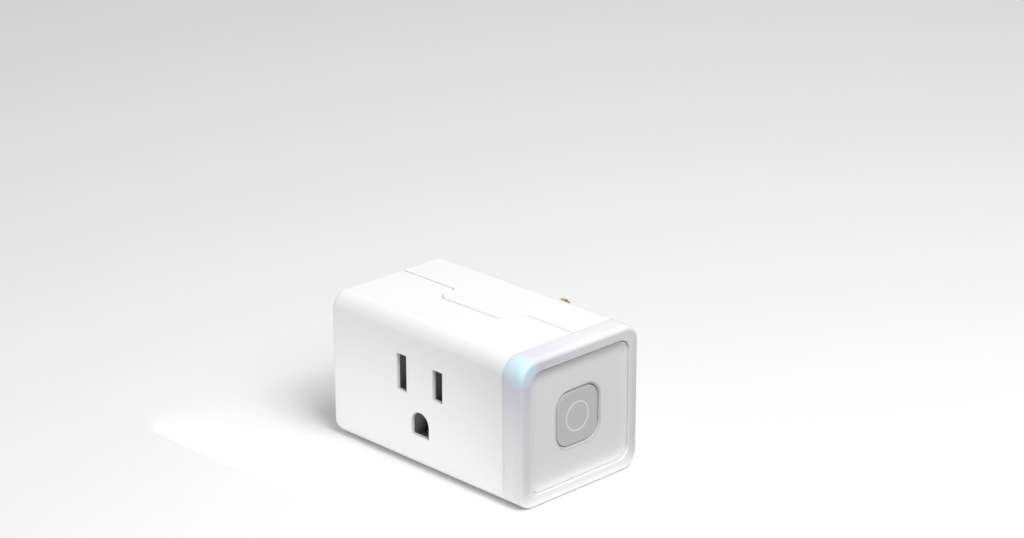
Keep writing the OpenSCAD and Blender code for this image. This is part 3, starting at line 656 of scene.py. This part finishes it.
def makeCaseRear():
    shell = makeShell("caseRear")
    combine(shell, makeCoverSide(-case["partingGap"] / 2), "INTERSECT")
    for inner, up in ((case["high"] - case["wall"], 1), (case["low"] + case["wall"], -1)):
        near = inner - up * coverLip["gap"]
        addTo(shell, lipBlock("lip", -coverLip["reach"], (near, near - up * coverLip["thickness"])),
              lipBlock("lipRoot", coverLip["gap"],
                       (near - up * coverLip["overlap"], inner + up * coverLip["rootDepth"])))
    for x, z in case["screws"]:
        addTo(shell, addRod("boss", "Y", (x, 0, z), posts["bossRadius"], posts["meet"], -past))
    for x, z in case["screws"]:
        floorY = posts["counterboreFloor"]
        cutWith(shell, addRod("counterbore", "Y", (x, 0, z), posts["counterbore"], floorY, past),
                addRod("clearance", "Y", (x, 0, z), posts["clearance"], posts["meet"] - past,
                       floorY + past, 24))
    fit = prongs["fit"]
    for node, width in (("neutral_blade", prongs["neutralWidth"]), ("line_blade", prongs["lineWidth"])):
        low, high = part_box(node)
        half = width / 2 + fit
        cutWith(shell, addBlock("bladeSlot", (low.x - fit, -3 * mm, -half), (high.x + fit, past, half)))
    cutWith(shell, addRod("pinHole", "Y", (0, 0, slots["groundZ"]), prongs["pinRoot"] + fit, -3 * mm, past))
    low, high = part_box("rating_label")
    cutWith(shell, roundedBlock("labelBed", (low.x, low.y, low.z), (high.x, past, high.z),
                                rating["radius"], "Y", 6))
    soften(shell, case["softEdge"])
    return shell


# ---- the light ring

ring = {
    "left": boxRing[0].x,
    "seam": case["seam"],
    "right": boxRing[1].x,
    "outerRadius": 1.4 * mm,
    "bezel": 3.45 * mm,
    "openingRadius": 3.2 * mm,
    "ledge": 1.1 * mm,
    "lipRound": 0.35 * mm,
    "lipZone": 3 * mm,
    "panelSeat": boxRing[1].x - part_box("end_panel")[1].x + 1.5 * mm,
    "gap": 0.05 * mm,
    "spigotFit": 0.1 * mm,
    "spigotWall": 1.2 * mm,
}


def ringOpening(name, start, end, grow, steps=10):
    inset = ring["bezel"] - grow
    return roundedBlock(name, (start, case["front"] + inset, case["low"] + inset),
                        (end, -inset, case["high"] - inset), ring["openingRadius"] + grow, "X", steps)


def makeLightRing():
    body = roundedBlock("lightRing", (ring["seam"] + ring["gap"], case["front"], case["low"]),
                        (ring["right"], 0, case["high"]), case["edgeRadius"], "X", 14)
    openEdit(body)
    pickEdges(body, level("X", ring["right"]))
    bevelPicked(ring["outerRadius"], 6)
    closeEdit()
    inset = case["wall"] + ring["spigotFit"]
    addTo(body, roundedBlock("spigot", (ring["left"], case["front"] + inset, case["low"] + inset),
                             (ring["seam"] + past, -inset, case["high"] - inset),
                             case["edgeRadius"] - inset, "X", 10))
    inset += ring["spigotWall"]
    cutWith(body, roundedBlock("hollow", (ring["left"] - past, case["front"] + inset, case["low"] + inset),
                               (ring["right"] - ring["panelSeat"], -inset, case["high"] - inset),
                               case["edgeRadius"] - inset, "X", 8))
    cutWith(body, ringOpening("ledgeHole", ring["right"] - 5 * mm, ring["right"] + past, -ring["ledge"]),
            ringOpening("opening", ring["right"] - ring["panelSeat"], ring["right"] + past, 0, 12))
    cleanUp(body)
    openEdit(body)
    nearLip = lambda p: (abs(p.x - ring["right"]) < tiny
                         and abs(p.y - middleY) < case["halfDepth"] - ring["lipZone"]
                         and abs(p.z - middleZ) < case["halfHeight"] - ring["lipZone"])
    pickEdges(body, lambda a, b: nearLip(a) and nearLip(b))
    bevelPicked(ring["lipRound"], 4)
    closeEdit()
    soften(body, 0.06 * mm, 2, 40)
    return body


# ---- the end panel and the button

panel = {
    "face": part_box("end_panel")[1].x,
    "back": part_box("end_panel")[1].x - 1.5 * mm,
    "fit": 0.12 * mm,
    "rim": 0.22 * mm,
    "softEdge": 0.09 * mm,
    "borderWidth": 3.6 * mm,
    "borderDepth": 0.45 * mm,
    "borderSteps": 16,
    "borderCurve": 3.4,  # above 1 is steeper at the rim
    "overlap": 0.6 * mm,
    "guideWall": 1 * mm,
    "guideDepth": 1.9 * mm,
    "legRadius": 1.3 * mm,
    "legStart": 28.2 * mm,
    "legs": [(y * mm, z * mm) for y in (-11.3, 11.3) for z in (-6.8, 6.8)],
}

button = {
    "face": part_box("power_button")[1].x,
    "back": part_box("power_button")[0].x,
    "width": 13.9 * mm,
    "radius": 3.9 * mm,
    "edgeRound": 0.18 * mm,
    "gap": 0.2 * mm,
    "flange": 1.0 * mm,
    "flangeThickness": 0.9 * mm,
    "flangeGap": 0.2 * mm,
    "pusherRadius": 1.6 * mm,
    "surround": 0.75 * mm,  # width and depth of the panel's slope round the button
    "surroundDepth": 0.28 * mm,
    "ringRadius": 3.95 * mm,
    "ringWidth": 0.5 * mm,
    "ringDepth": 0.3 * mm,
    "ringFit": 0.01 * mm,
    "ringSunk": 0.005 * mm,
}


def onButtonAxis(name, start, end, width, radius, steps=10):
    half = width / 2
    return roundedBlock(name, (start, middleY - half, middleZ - half), (end, middleY + half, middleZ + half),
                        radius, "X", steps)


def sinkPicked(wide, tall, face, width, depth, profile):  # the picked face goes down in a hollow slope
    inBefore, downBefore = 0.0, 0.0
    for inward, down in profile:  # as shares of the slope's width and depth
        extrudePicked(((downBefore - down) * depth, 0, 0))
        bpy.ops.transform.resize(
            value=(1, (wide - inward * width) / (wide - inBefore * width),
                   (tall - inward * width) / (tall - inBefore * width)),
            center_override=(face - down * depth, middleY, middleZ))
        inBefore, downBefore = inward, down


def makeButtonHole():  # straight at the back, opening in a slope at the face
    floorX = panel["face"] - panel["borderDepth"]
    width = button["width"] + 2 * button["gap"]
    hole = onButtonAxis("buttonHole", panel["back"] - past, floorX - button["surroundDepth"], width,
                        button["radius"] + button["gap"], 12)
    openEdit(hole)
    pickFaces(hole, facing("X", 1))
    wider = 1 + 2 * button["surround"] / width
    extrudePicked((button["surroundDepth"], 0, 0))
    bpy.ops.transform.resize(value=(1, wider, wider), center_override=(floorX, middleY, middleZ))
    extrudePicked((2 * past, 0, 0))
    closeEdit()
    return hole


def makeEndPanel():
    fit = panel["fit"]
    body = ringOpening("endPanel", panel["back"], panel["face"], -fit, 12)
    wide = case["halfDepth"] - ring["bezel"] - fit
    tall = case["halfHeight"] - ring["bezel"] - fit
    openEdit(body)
    pickFaces(body, facing("X", 1))
    bpy.ops.mesh.inset(thickness=panel["rim"])
    wide -= panel["rim"]
    tall -= panel["rim"]
    shares = [i / panel["borderSteps"] for i in range(1, panel["borderSteps"] + 1)]
    sinkPicked(wide, tall, panel["face"], panel["borderWidth"], panel["borderDepth"],
               [(share, 1 - (1 - share) ** panel["borderCurve"]) for share in shares])
    closeEdit()
    guide = button["width"] + 2 * button["flange"] + 2 * button["gap"]  # frame round the button's flange
    into = panel["back"] + panel["overlap"]
    addTo(body, onButtonAxis("guide", panel["back"] - panel["guideDepth"], into,
                             guide + 2 * panel["guideWall"], button["radius"]))
    for y, z in panel["legs"]:
        addTo(body, addRod("leg", "X", (0, middleY + y, middleZ + z), panel["legRadius"],
                           panel["legStart"], into, 32))
    cutWith(body, onButtonAxis("guideHollow", panel["back"] - 3 * mm, panel["back"], guide, button["radius"]))
    cutWith(body, makeButtonHole())
    soften(body, panel["softEdge"], 2, 40)
    return body


def makeRound(name, fit, end):  # a flat ring on the button's axis, in the button's face
    body = addRod(name, "X", (0, middleY, middleZ), button["ringRadius"] - fit,
                  button["face"] - button["ringDepth"] + fit, end, 96)
    cutWith(body, addRod("island", "X", (0, middleY, middleZ),
                         button["ringRadius"] - button["ringWidth"] + fit,
                         button["face"] - 2 * past, button["face"] + 2 * past, 96))
    return body


def makePushButton():
    flange = panel["back"] - button["flangeGap"]
    root = flange - button["flangeThickness"]
    body = onButtonAxis("pushButton", root, button["face"], button["width"], button["radius"], 12)
    openEdit(body)
    pickEdges(body, level("X", button["face"]))
    bevelPicked(button["edgeRound"], 3)
    closeEdit()
    addTo(body, onButtonAxis("flange", root, flange, button["width"] + 2 * button["flange"],
                             button["radius"]))
    addTo(body, addRod("pusher", "X", (0, middleY, middleZ), button["pusherRadius"], button["back"],
                       flange - 0.3 * mm, 32))
    cutWith(body, makeRound("groove", 0, button["face"] + past))
    soften(body, 0.04 * mm, 2, 40)
    return body


def makeButtonRing():
    body = makeRound("buttonRing", button["ringFit"], button["face"] - button["ringSunk"])
    soften(body, 0.012 * mm, 1, 40)
    return body


# ---- what shows at the back

prongs = {
    "neutralWidth": 7.9 * mm,
    "lineWidth": 6.3 * mm,
    "fit": 0.05 * mm,  # room round a prong in the cover
    "tip": 1.2 * mm,
    "edgeRound": 0.18 * mm,
    "shoulder": 1.2 * mm,
    "shoulderFrom": -3.6 * mm,
    "shoulderTo": -2 * mm,
    "tail": 3.0 * mm,
    "pinRadius": 2.37 * mm,
    "pinRoot": 2.87 * mm,
    "pinRootFrom": -2.5 * mm,
}
caseScrew = {
    "headRadius": 1.9 * mm,
    "headHeight": 1.4 * mm,
    "headRound": 0.5 * mm,
    "shankRadius": 1.0 * mm,
    "cross": (1.1 * mm, 0.28 * mm),  # half length and half width of the driver's cross
    "crossDepth": 0.8 * mm,
}
rating = {
    "fit": 0.03 * mm,
    "sunk": 0.02 * mm,
    "radius": 1.0 * mm,
    "border": 0.7 * mm,
    "line": 0.08 * mm,
}


def makeBlade(name, node, width):
    low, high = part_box(node)
    tail = prongs["tail"] / 2
    body = addBlock(name, (low.x, low.y, -tail), (high.x, high.y, tail))
    start, end = prongs["shoulderFrom"], prongs["shoulderTo"]
    openEdit(body)
    for y in (start, end):
        bpy.ops.mesh.select_all(action="SELECT")
        bpy.ops.mesh.bisect(plane_co=(0, y, 0), plane_no=(0, 1, 0))
    for sign in (-1, 1):
        pickFaces(body, lambda m, n: n.z * sign > 0.99 and m.y > start)
        extrudePicked((0, 0, sign * (width / 2 - tail)))
        pickFaces(body, lambda m, n: n.z * sign > 0.99 and start < m.y < end)
        extrudePicked((0, 0, sign * prongs["shoulder"]))
    pickEdges(body, lambda a, b: abs(a.y - high.y) < tiny and abs(b.y - high.y) < tiny
              and abs(a.z - b.z) < tiny and abs(abs(a.z) - width / 2) < tiny)
    bevelPicked(prongs["tip"], 1)
    closeEdit()
    soften(body, prongs["edgeRound"], 3, 25)
    return body


def makeGroundPin():
    low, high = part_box("ground_pin")
    z = slots["groundZ"]
    body = addRod("groundPin", "Y", (0, 0, z), prongs["pinRadius"], -past, high.y, 48)
    openEdit(body)
    pickEdges(body, level("Y", high.y))
    bevelPicked(prongs["pinRadius"] * 0.985, 10)
    closeEdit()
    addTo(body, addRod("root", "Y", (0, 0, z), prongs["pinRoot"], prongs["pinRootFrom"], 0, 48))
    addTo(body, addRod("flange", "Y", (0, 0, z), prongs["pinRoot"] + prongs["shoulder"],
                       prongs["shoulderFrom"], prongs["shoulderTo"], 48))
    addTo(body, addRod("tail", "Y", (0, 0, z), prongs["tail"] / 2, low.y, -3 * mm, 32))
    soften(body, 0.08 * mm, 2, 40)
    return body


def makeCaseScrews():
    x, z = case["screws"][0]
    low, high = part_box("housing_screws")
    screw = addRod("caseScrew", "Y", (x, 0, z), caseScrew["headRadius"],
                   high.y - caseScrew["headHeight"], high.y, 40)
    openEdit(screw)
    pickEdges(screw, level("Y", high.y))
    bevelPicked(caseScrew["headRound"], 4)
    closeEdit()
    addTo(screw, addRod("shank", "Y", (x, 0, z), caseScrew["shankRadius"], low.y, high.y - past, 24))
    for wide, tall in (caseScrew["cross"], caseScrew["cross"][::-1]):
        cutWith(screw, addBlock("cross", (x - wide, high.y - caseScrew["crossDepth"], z - tall),
                                (x + wide, high.y + past, z + tall)))
    soften(screw, 0.05 * mm, 2, 40)
    others = [copyOf(screw, "caseScrew", (nx - x, 0, nz - z)) for nx, nz in case["screws"][1:]]
    return joinPieces("caseScrews", [screw, *others])


def makeRatingLabel():
    low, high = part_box("rating_label")
    fit = rating["fit"]
    body = roundedBlock("ratingLabel", (low.x + fit, low.y, low.z + fit),
                        (high.x - fit, high.y - rating["sunk"], high.z - fit), rating["radius"], "Y", 6)
    soften(body, 0.04 * mm, 2, 40)
    return body


# ---- materials of the outside

look = {
    "shell": (0.94, 0.94, 0.94),
    "ring": (0.85, 0.85, 0.855),
    # painted light: a whiter tone for the ring's inner lip, standing in for the light on it
    "ringLipPaintedLight": (0.95, 0.95, 0.95),
    # painted glow of the lamp behind the ring: its core and its haze
    "ringGlow": (0.62, 0.92, 0.98),
    "ringGlowHaze": (0.66, 0.65, 0.86),
    "panel": (0.93, 0.93, 0.93),
    # painted shade: the grey of the panel's slope round the button, standing in for the shade in the recess
    "surround": (0.66, 0.66, 0.66),
    "button": (0.69, 0.69, 0.69),
    "buttonRing": (0.94, 0.94, 0.94),
}


frost = {
    "streaks": 900.0,
    "streakTone": 0.16,
    # the band of painted light along the ring's inner lip: its width, fade and depth
    "lipWidth": 0.9 * mm,
    "lipFade": 0.6 * mm,
    "lipDepth": 1.5 * mm,
}

# where the painted glow sits on the ring and how far it fades
glow = {
    "spot": Vector((ring["right"] - 1.4 * mm, case["front"] + 1.2 * mm, case["high"] - 1.6 * mm)),
    "core": 5.4 * mm,
    "coreCurve": 0.8,
    "haze": 21.0 * mm,
    "hazeCurve": 1.3,
    "hazeTint": 0.75,
    "light": 0.12,
}


def objectPlace(tree):  # the coordinates, and the same in three parts
    where = addNode(tree, "TexCoord")
    parts = addNode(tree, "SeparateXYZ")
    tree.links.new(where.outputs["Object"], parts.inputs[0])
    return where.outputs["Object"], parts.outputs


def awayFrom(tree, value, middle):
    return mathNode(tree, "ABSOLUTE", mathNode(tree, "SUBTRACT", value, middle))


def makeRingMaterial():
    material, tree, shader = newMaterial(
        "frostedRing", Subsurface_Weight=0.25, Subsurface_Scale=2.0 * mm, Coat_Weight=0.25,
        Coat_Roughness=0.25, IOR=1.46)
    shader.inputs["Subsurface Radius"].default_value = (1.0, 1.0, 1.0)
    where, parts = objectPlace(tree)
    # how far a point lies from the case's own rounded outline, so that the streaks run round the ring
    reach = []
    for axis, middle, half in (("Y", middleY, case["halfDepth"]), ("Z", middleZ, case["halfHeight"])):
        beyond = mathNode(tree, "SUBTRACT", awayFrom(tree, parts[axis], middle), half - case["edgeRadius"])
        beyond = mathNode(tree, "MAXIMUM", beyond, 0.0)
        reach.append(mathNode(tree, "MULTIPLY", beyond, beyond))
    away = mathNode(tree, "SQRT", mathNode(tree, "ADD", *reach))
    across = mathNode(tree, "SUBTRACT", parts["X"], away)
    streaks = addNode(tree, "TexNoise", noise_dimensions="1D", Scale=frost["streaks"], Detail=3.0)
    tree.links.new(across, streaks.inputs["W"])
    drift = mathNode(tree, "SUBTRACT", streaks.outputs["Fac"], 0.5)
    band = mathNode(tree, "MULTIPLY", drift, frost["streakTone"])
    shade = addNode(tree, "CombineXYZ")
    tone = mathNode(tree, "ADD", band, 1.0)
    for axis in "XYZ":
        tree.links.new(tone, shade.inputs[axis])
    grain = placeGroup(tree, "mouldedGrain", Color=(*look["ring"], 1), Unevenness=0.03, Roughness=0.42,
                       Grains_per_metre=3800.0)
    plain = mixColor(tree, 1.0, grain.outputs["Color"], shade.outputs[0], "MULTIPLY")
    # the lip round the panel is painted whiter than the frosted band: painted light that stands in for the
    # light on the inner lip
    inner = case["edgeRadius"] - ring["bezel"]
    lip = mathNode(tree, "SUBTRACT", inner + frost["lipWidth"], away)
    lip = mathNode(tree, "DIVIDE", lip, frost["lipFade"], clamp=True)
    nearFace = mathNode(tree, "GREATER_THAN", parts["X"], ring["right"] - frost["lipDepth"])
    plain = mixColor(tree, mathNode(tree, "MULTIPLY", lip, nearFace), plain, (*look["ringLipPaintedLight"], 1))
    # the lamp behind the ring lights its front top corner; this glow is painted into the base colour as a
    # cyan core and a lavender haze, with a weak emission
    spot = addNode(tree, "VectorMath", operation="DISTANCE")
    tree.links.new(where, spot.inputs[0])
    spot.inputs[1].default_value = glow["spot"]
    far = mathNode(tree, "DIVIDE", spot.outputs["Value"], glow["haze"], clamp=True)
    haze = mathNode(tree, "POWER", mathNode(tree, "SUBTRACT", 1.0, far), glow["hazeCurve"])
    near = mathNode(tree, "DIVIDE", spot.outputs["Value"], glow["core"], clamp=True)
    core = mathNode(tree, "POWER", mathNode(tree, "SUBTRACT", 1.0, near), glow["coreCurve"])
    tint = mathNode(tree, "MULTIPLY", haze, glow["hazeTint"])
    tinted = mixColor(tree, tint, plain, (*look["ringGlowHaze"], 1))
    lit = mixColor(tree, core, tinted, (*look["ringGlow"], 1))
    tree.links.new(lit, shader.inputs["Base Color"])
    tree.links.new(grain.outputs["Roughness"], shader.inputs["Roughness"])
    glowColor = mixColor(tree, core, (0.0, 0.0, 0.0, 1), (*look["ringGlow"], 1))
    tree.links.new(glowColor, shader.inputs["Emission Color"])
    shader.inputs["Emission Strength"].default_value = glow["light"]
    fine = mathNode(tree, "MULTIPLY", grain.outputs["Height"], 0.3)
    height = mathNode(tree, "ADD", streaks.outputs["Fac"], fine)
    bumpInto(tree, shader, height, 0.25, 0.03 * mm)
    return material


def makePanelMaterial():  # the slope round the button is painted greyer: painted shade that stands in for the shade in the button's recess
    material, tree, shader = newMaterial("panelWhitePaintedShade")
    parts = objectPlace(tree)[1]
    corner = button["radius"] + button["gap"]
    flat = button["width"] / 2 + button["gap"] - corner
    reach = []
    for axis, middle in (("Y", middleY), ("Z", middleZ)):
        beyond = mathNode(tree, "SUBTRACT", awayFrom(tree, parts[axis], middle), flat)
        beyond = mathNode(tree, "MAXIMUM", beyond, 0.0)
        reach.append(mathNode(tree, "MULTIPLY", beyond, beyond))
    outside = mathNode(tree, "SUBTRACT", mathNode(tree, "SQRT", mathNode(tree, "ADD", *reach)), corner)
    share = mathNode(tree, "DIVIDE", outside, button["surround"] * 1.15, clamp=True)
    fade = rampNode(tree, share, [(0.0, (1, 1, 1, 1)), (0.55, (0.8, 0.8, 0.8, 1)), (1.0, (0, 0, 0, 1))])
    grain = placeGroup(tree, "mouldedGrain", Color=(*look["panel"], 1), Unevenness=0.02, Roughness=0.40,
                       Grains_per_metre=5200.0)
    # painted shade on the slope round the button, fading out onto the panel
    tree.links.new(mixColor(tree, fade, grain.outputs["Color"], (*look["surround"], 1)),
                   shader.inputs["Base Color"])
    tree.links.new(grain.outputs["Roughness"], shader.inputs["Roughness"])
    bumpInto(tree, shader, grain.outputs["Height"], 0.08, 0.02 * mm)
    return material


def makePaperMaterial():
    material, tree, shader = newMaterial("labelPaper", Roughness=0.45)
    low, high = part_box("rating_label")
    parts = objectPlace(tree)[1]
    dx = awayFrom(tree, parts["X"], (low.x + high.x) / 2)
    dz = awayFrom(tree, parts["Z"], (low.z + high.z) / 2)
    inX = mathNode(tree, "SUBTRACT", (high.x - low.x) / 2 - rating["border"], dx)
    inZ = mathNode(tree, "SUBTRACT", (high.z - low.z) / 2 - rating["border"], dz)
    edge = mathNode(tree, "ABSOLUTE", mathNode(tree, "MINIMUM", inX, inZ))
    line = mathNode(tree, "LESS_THAN", edge, rating["line"])
    grain = placeGroup(tree, "mouldedGrain", Color=(0.74, 0.75, 0.77, 1), Unevenness=0.05, Roughness=0.5,
                       Grains_per_metre=2600.0)
    tree.links.new(mixColor(tree, mathNode(tree, "MULTIPLY", line, 0.7), grain.outputs["Color"],
                            (0.30, 0.31, 0.33, 1)), shader.inputs["Base Color"])
    tree.links.new(grain.outputs["Roughness"], shader.inputs["Roughness"])
    bumpInto(tree, shader, grain.outputs["Height"], 0.2, 0.01 * mm)
    return material


def makeBoardMaterial():
    material, tree, shader = newMaterial("boardGreen", Coat_Weight=0.4, Coat_Roughness=0.2)
    where = addNode(tree, "TexCoord")
    tracks = addNode(tree, "TexVoronoi", feature="DISTANCE_TO_EDGE", Scale=420.0)
    tree.links.new(where.outputs["Object"], tracks.inputs["Vector"])
    grain = placeGroup(tree, "mouldedGrain", Color=(0.02, 0.14, 0.06, 1), Unevenness=0.1, Roughness=0.35,
                       Grains_per_metre=3000.0)
    copper = mathNode(tree, "LESS_THAN", tracks.outputs["Distance"], 0.12)
    tree.links.new(mixColor(tree, mathNode(tree, "MULTIPLY", copper, 0.6), grain.outputs["Color"],
                            (0.05, 0.26, 0.11, 1)), shader.inputs["Base Color"])
    tree.links.new(grain.outputs["Roughness"], shader.inputs["Roughness"])
    bumpInto(tree, shader, copper, 0.3, 0.02 * mm)
    return material


print("making the materials")
finishes = {
    "shell": plastic("whiteShell", look["shell"], 0.38, 0.015, 5200.0, 0.10, Coat_Weight=0.0,
                     Specular_IOR_Level=0.45),
    "ring": makeRingMaterial(),
    "panel": makePanelMaterial(),
    "button": plastic("buttonGrey", look["button"], 0.36, 0.02, 5200.0, 0.08),
    "buttonRing": plastic("inlayWhite", look["buttonRing"], 0.35, 0.02, 5200.0, 0.05),
    "paper": makePaperMaterial(),
    "brass": metal("prongBrass", (0.83, 0.66, 0.34), (0.52, 0.36, 0.16), 0.22, 0.3),
    "steel": metal("screwSteel", (0.62, 0.63, 0.65), (0.36, 0.36, 0.38), 0.32, 0.35,
                   (2600.0, 2600.0, 2600.0)),
    "bronze": metal("springBronze", (0.42, 0.33, 0.25), (0.24, 0.17, 0.12), 0.34, 0.3),
    "copper": metal("copperStrip", (0.80, 0.42, 0.27), (0.42, 0.18, 0.10), 0.28, 0.35,
                    (120.0, 3000.0, 3000.0)),
    "iron": metal("relayIron", (0.48, 0.49, 0.51), (0.26, 0.25, 0.25), 0.38, 0.35,
                  (3000.0, 3000.0, 160.0)),
    "tin": metal("shieldTin", (0.70, 0.70, 0.70), (0.46, 0.46, 0.45), 0.30, 0.3,
                 (3000.0, 3000.0, 140.0)),
    "gold": metal("pinGold", (0.88, 0.68, 0.30), (0.60, 0.42, 0.18), 0.20, 0.15,
                  (140.0, 3000.0, 3000.0)),
    "nylon": plastic("blackNylon", (0.028, 0.028, 0.030), 0.45, 0.25, 3600.0, 0.25),
    "carrier": plastic("carrierGrey", (0.34, 0.34, 0.345), 0.50, 0.12, 3600.0, 0.25),
    "board": makeBoardMaterial(),
    "film": plastic("insulationFilm", (0.66, 0.60, 0.36), 0.30, 0.08, 1500.0, 0.1, Coat_Weight=0.5),
    "relayBlue": plastic("relayBlue", (0.012, 0.06, 0.28), 0.24, 0.12, 3000.0, 0.1, Coat_Weight=0.4),
    "bobbin": plastic("bobbinCream", (0.70, 0.60, 0.40), 0.45, 0.08, 3600.0, 0.2),
    "wire": wound("windingCopper", (0.50, 0.15, 0.05), (0.10, 0.03, 0.01), 5200.0, (0.0, 1.0, 0.0), 0.28,
                  Coat_Weight=0.6),
    "sleeve": wound("capacitorSleeve", (0.012, 0.014, 0.045), (0.008, 0.009, 0.030), 260.0, (0.0, 1.0, 0.0),
                    0.22, 0.1, Coat_Weight=0.5),
    "ferrite": plastic("ferrite", (0.045, 0.045, 0.05), 0.55, 0.3, 5200.0, 0.5),
    "tape": wound("windingTape", (0.75, 0.50, 0.03), (0.55, 0.34, 0.02), 640.0, (0.0, 1.0, 0.0), 0.30, 0.3,
                  Coat_Weight=0.3),
    "varistor": plastic("varistorBlue", (0.02, 0.12, 0.36), 0.28, 0.2, 900.0, 0.5, Coat_Weight=0.5),
    "resistor": plastic("resistorBody", (0.13, 0.20, 0.05), 0.35, 0.25, 1500.0, 0.5, Coat_Weight=0.3),
    "chip": plastic("chipBlack", (0.018, 0.018, 0.020), 0.40, 0.25, 4200.0, 0.35),
    "lens": plastic("ledLens", (0.85, 0.85, 0.72), 0.18, 0.03, 2400.0, 0.05, Coat_Weight=0.6),
}

# ---- put it together

print("making the pieces")
finishPiece(makeCaseFront(), finishes["shell"], "white_shell", "housing", "front_housing")
finishPiece(makeCaseRear(), finishes["shell"], "white_shell", "housing", "rear_cover")
finishPiece(makeLightRing(), finishes["ring"], "frosted_diffuser", "housing", "light_ring")
finishPiece(makeEndPanel(), finishes["panel"], "panel_grey", "housing", "end_panel")
finishPiece(makePushButton(), finishes["button"], "button_grey", "button", "power_button")
finishPiece(makeButtonRing(), finishes["buttonRing"], "inlay_white", "button", "button_ring_mark")
finishPiece(makeRatingLabel(), finishes["paper"], "label_paper", "housing", "rating_label")
finishPiece(makeBlade("neutralBlade", "neutral_blade", prongs["neutralWidth"]), finishes["brass"],
            "prong_brass", "housing", "neutral_blade")
finishPiece(makeBlade("lineBlade", "line_blade", prongs["lineWidth"]), finishes["brass"],
            "prong_brass", "housing", "line_blade")
finishPiece(makeGroundPin(), finishes["brass"], "prong_brass", "housing", "ground_pin")
finishPiece(makeCaseScrews(), finishes["steel"], "screw_steel", "housing", "housing_screws")

# the nodes that stay take a finish each
inside = {
    "nylon": ["prong_retainer", "switch_body", "link_header", "board_header", "switch_plunger"],
    "carrier": ["contact_carrier"],
    "steel": ["retainer_screws", "carrier_screws", "board_screws", "panel_screws", "switch_dome"],
    "bronze": ["neutral_contact", "line_contact", "ground_contact", "relay_contact_arm",
               "relay_fixed_contact"],
    "copper": ["neutral_busbar", "line_busbar", "ground_strap"],
    "board": ["main_board", "status_board", "wifi_board"],
    "film": ["insulation_sheet"],
    "relayBlue": ["relay_cover", "relay_base"],
    "bobbin": ["relay_bobbin"],
    "wire": ["relay_winding"],
    "iron": ["relay_core", "relay_yoke", "relay_armature"],
    "sleeve": ["bulk_capacitors"],
    "ferrite": ["transformer_core"],
    "tape": ["transformer_winding"],
    "varistor": ["varistor"],
    "resistor": ["fuse_resistor"],
    "chip": ["bridge_rectifier", "converter_chip"],
    "tin": ["wifi_shield"],
    "lens": ["status_leds"],
    "gold": ["link_pins"],
}
for finish, names in inside.items():
    for name in names:
        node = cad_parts[name]
        node.data.materials.clear()
        node.data.materials.append(finishes[finish])
print("finished the inside pieces")

clearSelection()
bpy.ops.mesh.primitive_plane_add(size=studio["floorSize"], location=(0, 0, cadBox[0][2]))
floor = bpy.context.object
floor.name = "floor"
floorMaterial, floorTree, floorShader = newMaterial("paleFloor", Roughness=0.6)
floorGrain = placeGroup(floorTree, "mouldedGrain", Color=studio["floor"], Unevenness=0.01, Roughness=0.6,
                        Grains_per_metre=900.0)
floorTree.links.new(floorGrain.outputs["Color"], floorShader.inputs["Base Color"])
floorTree.links.new(floorGrain.outputs["Roughness"], floorShader.inputs["Roughness"])
floor.data.materials.append(floorMaterial)

# a dark card on the floor keeps the floor's light off the button end; it is clear from below
clearSelection()
card = studio["card"]
cardMiddle = cadBox[1][0] + card["away"] + card["size"][0] / 2
bpy.ops.mesh.primitive_plane_add(size=1, location=(
    cardMiddle, (cadBox[0][1] + cadBox[1][1]) / 2, cadBox[0][2] + card["lift"]))
darkCard = bpy.context.object
darkCard.name = "darkCard"
darkCard.scale = (*card["size"], 1)
darkCard.visible_camera = False
darkCard.visible_shadow = False
cardMaterial, cardTree, cardShader = newMaterial("cardBlack", Roughness=0.9)
cardShader.inputs["Base Color"].default_value = (card["tone"], card["tone"], card["tone"], 1)
cardSide = addNode(cardTree, "NewGeometry")
cardTree.links.new(mathNode(cardTree, "SUBTRACT", 1.0, cardSide.outputs["Backfacing"]),
                   cardShader.inputs["Alpha"])
darkCard.data.materials.append(cardMaterial)

placeCamera()
lightStudio()
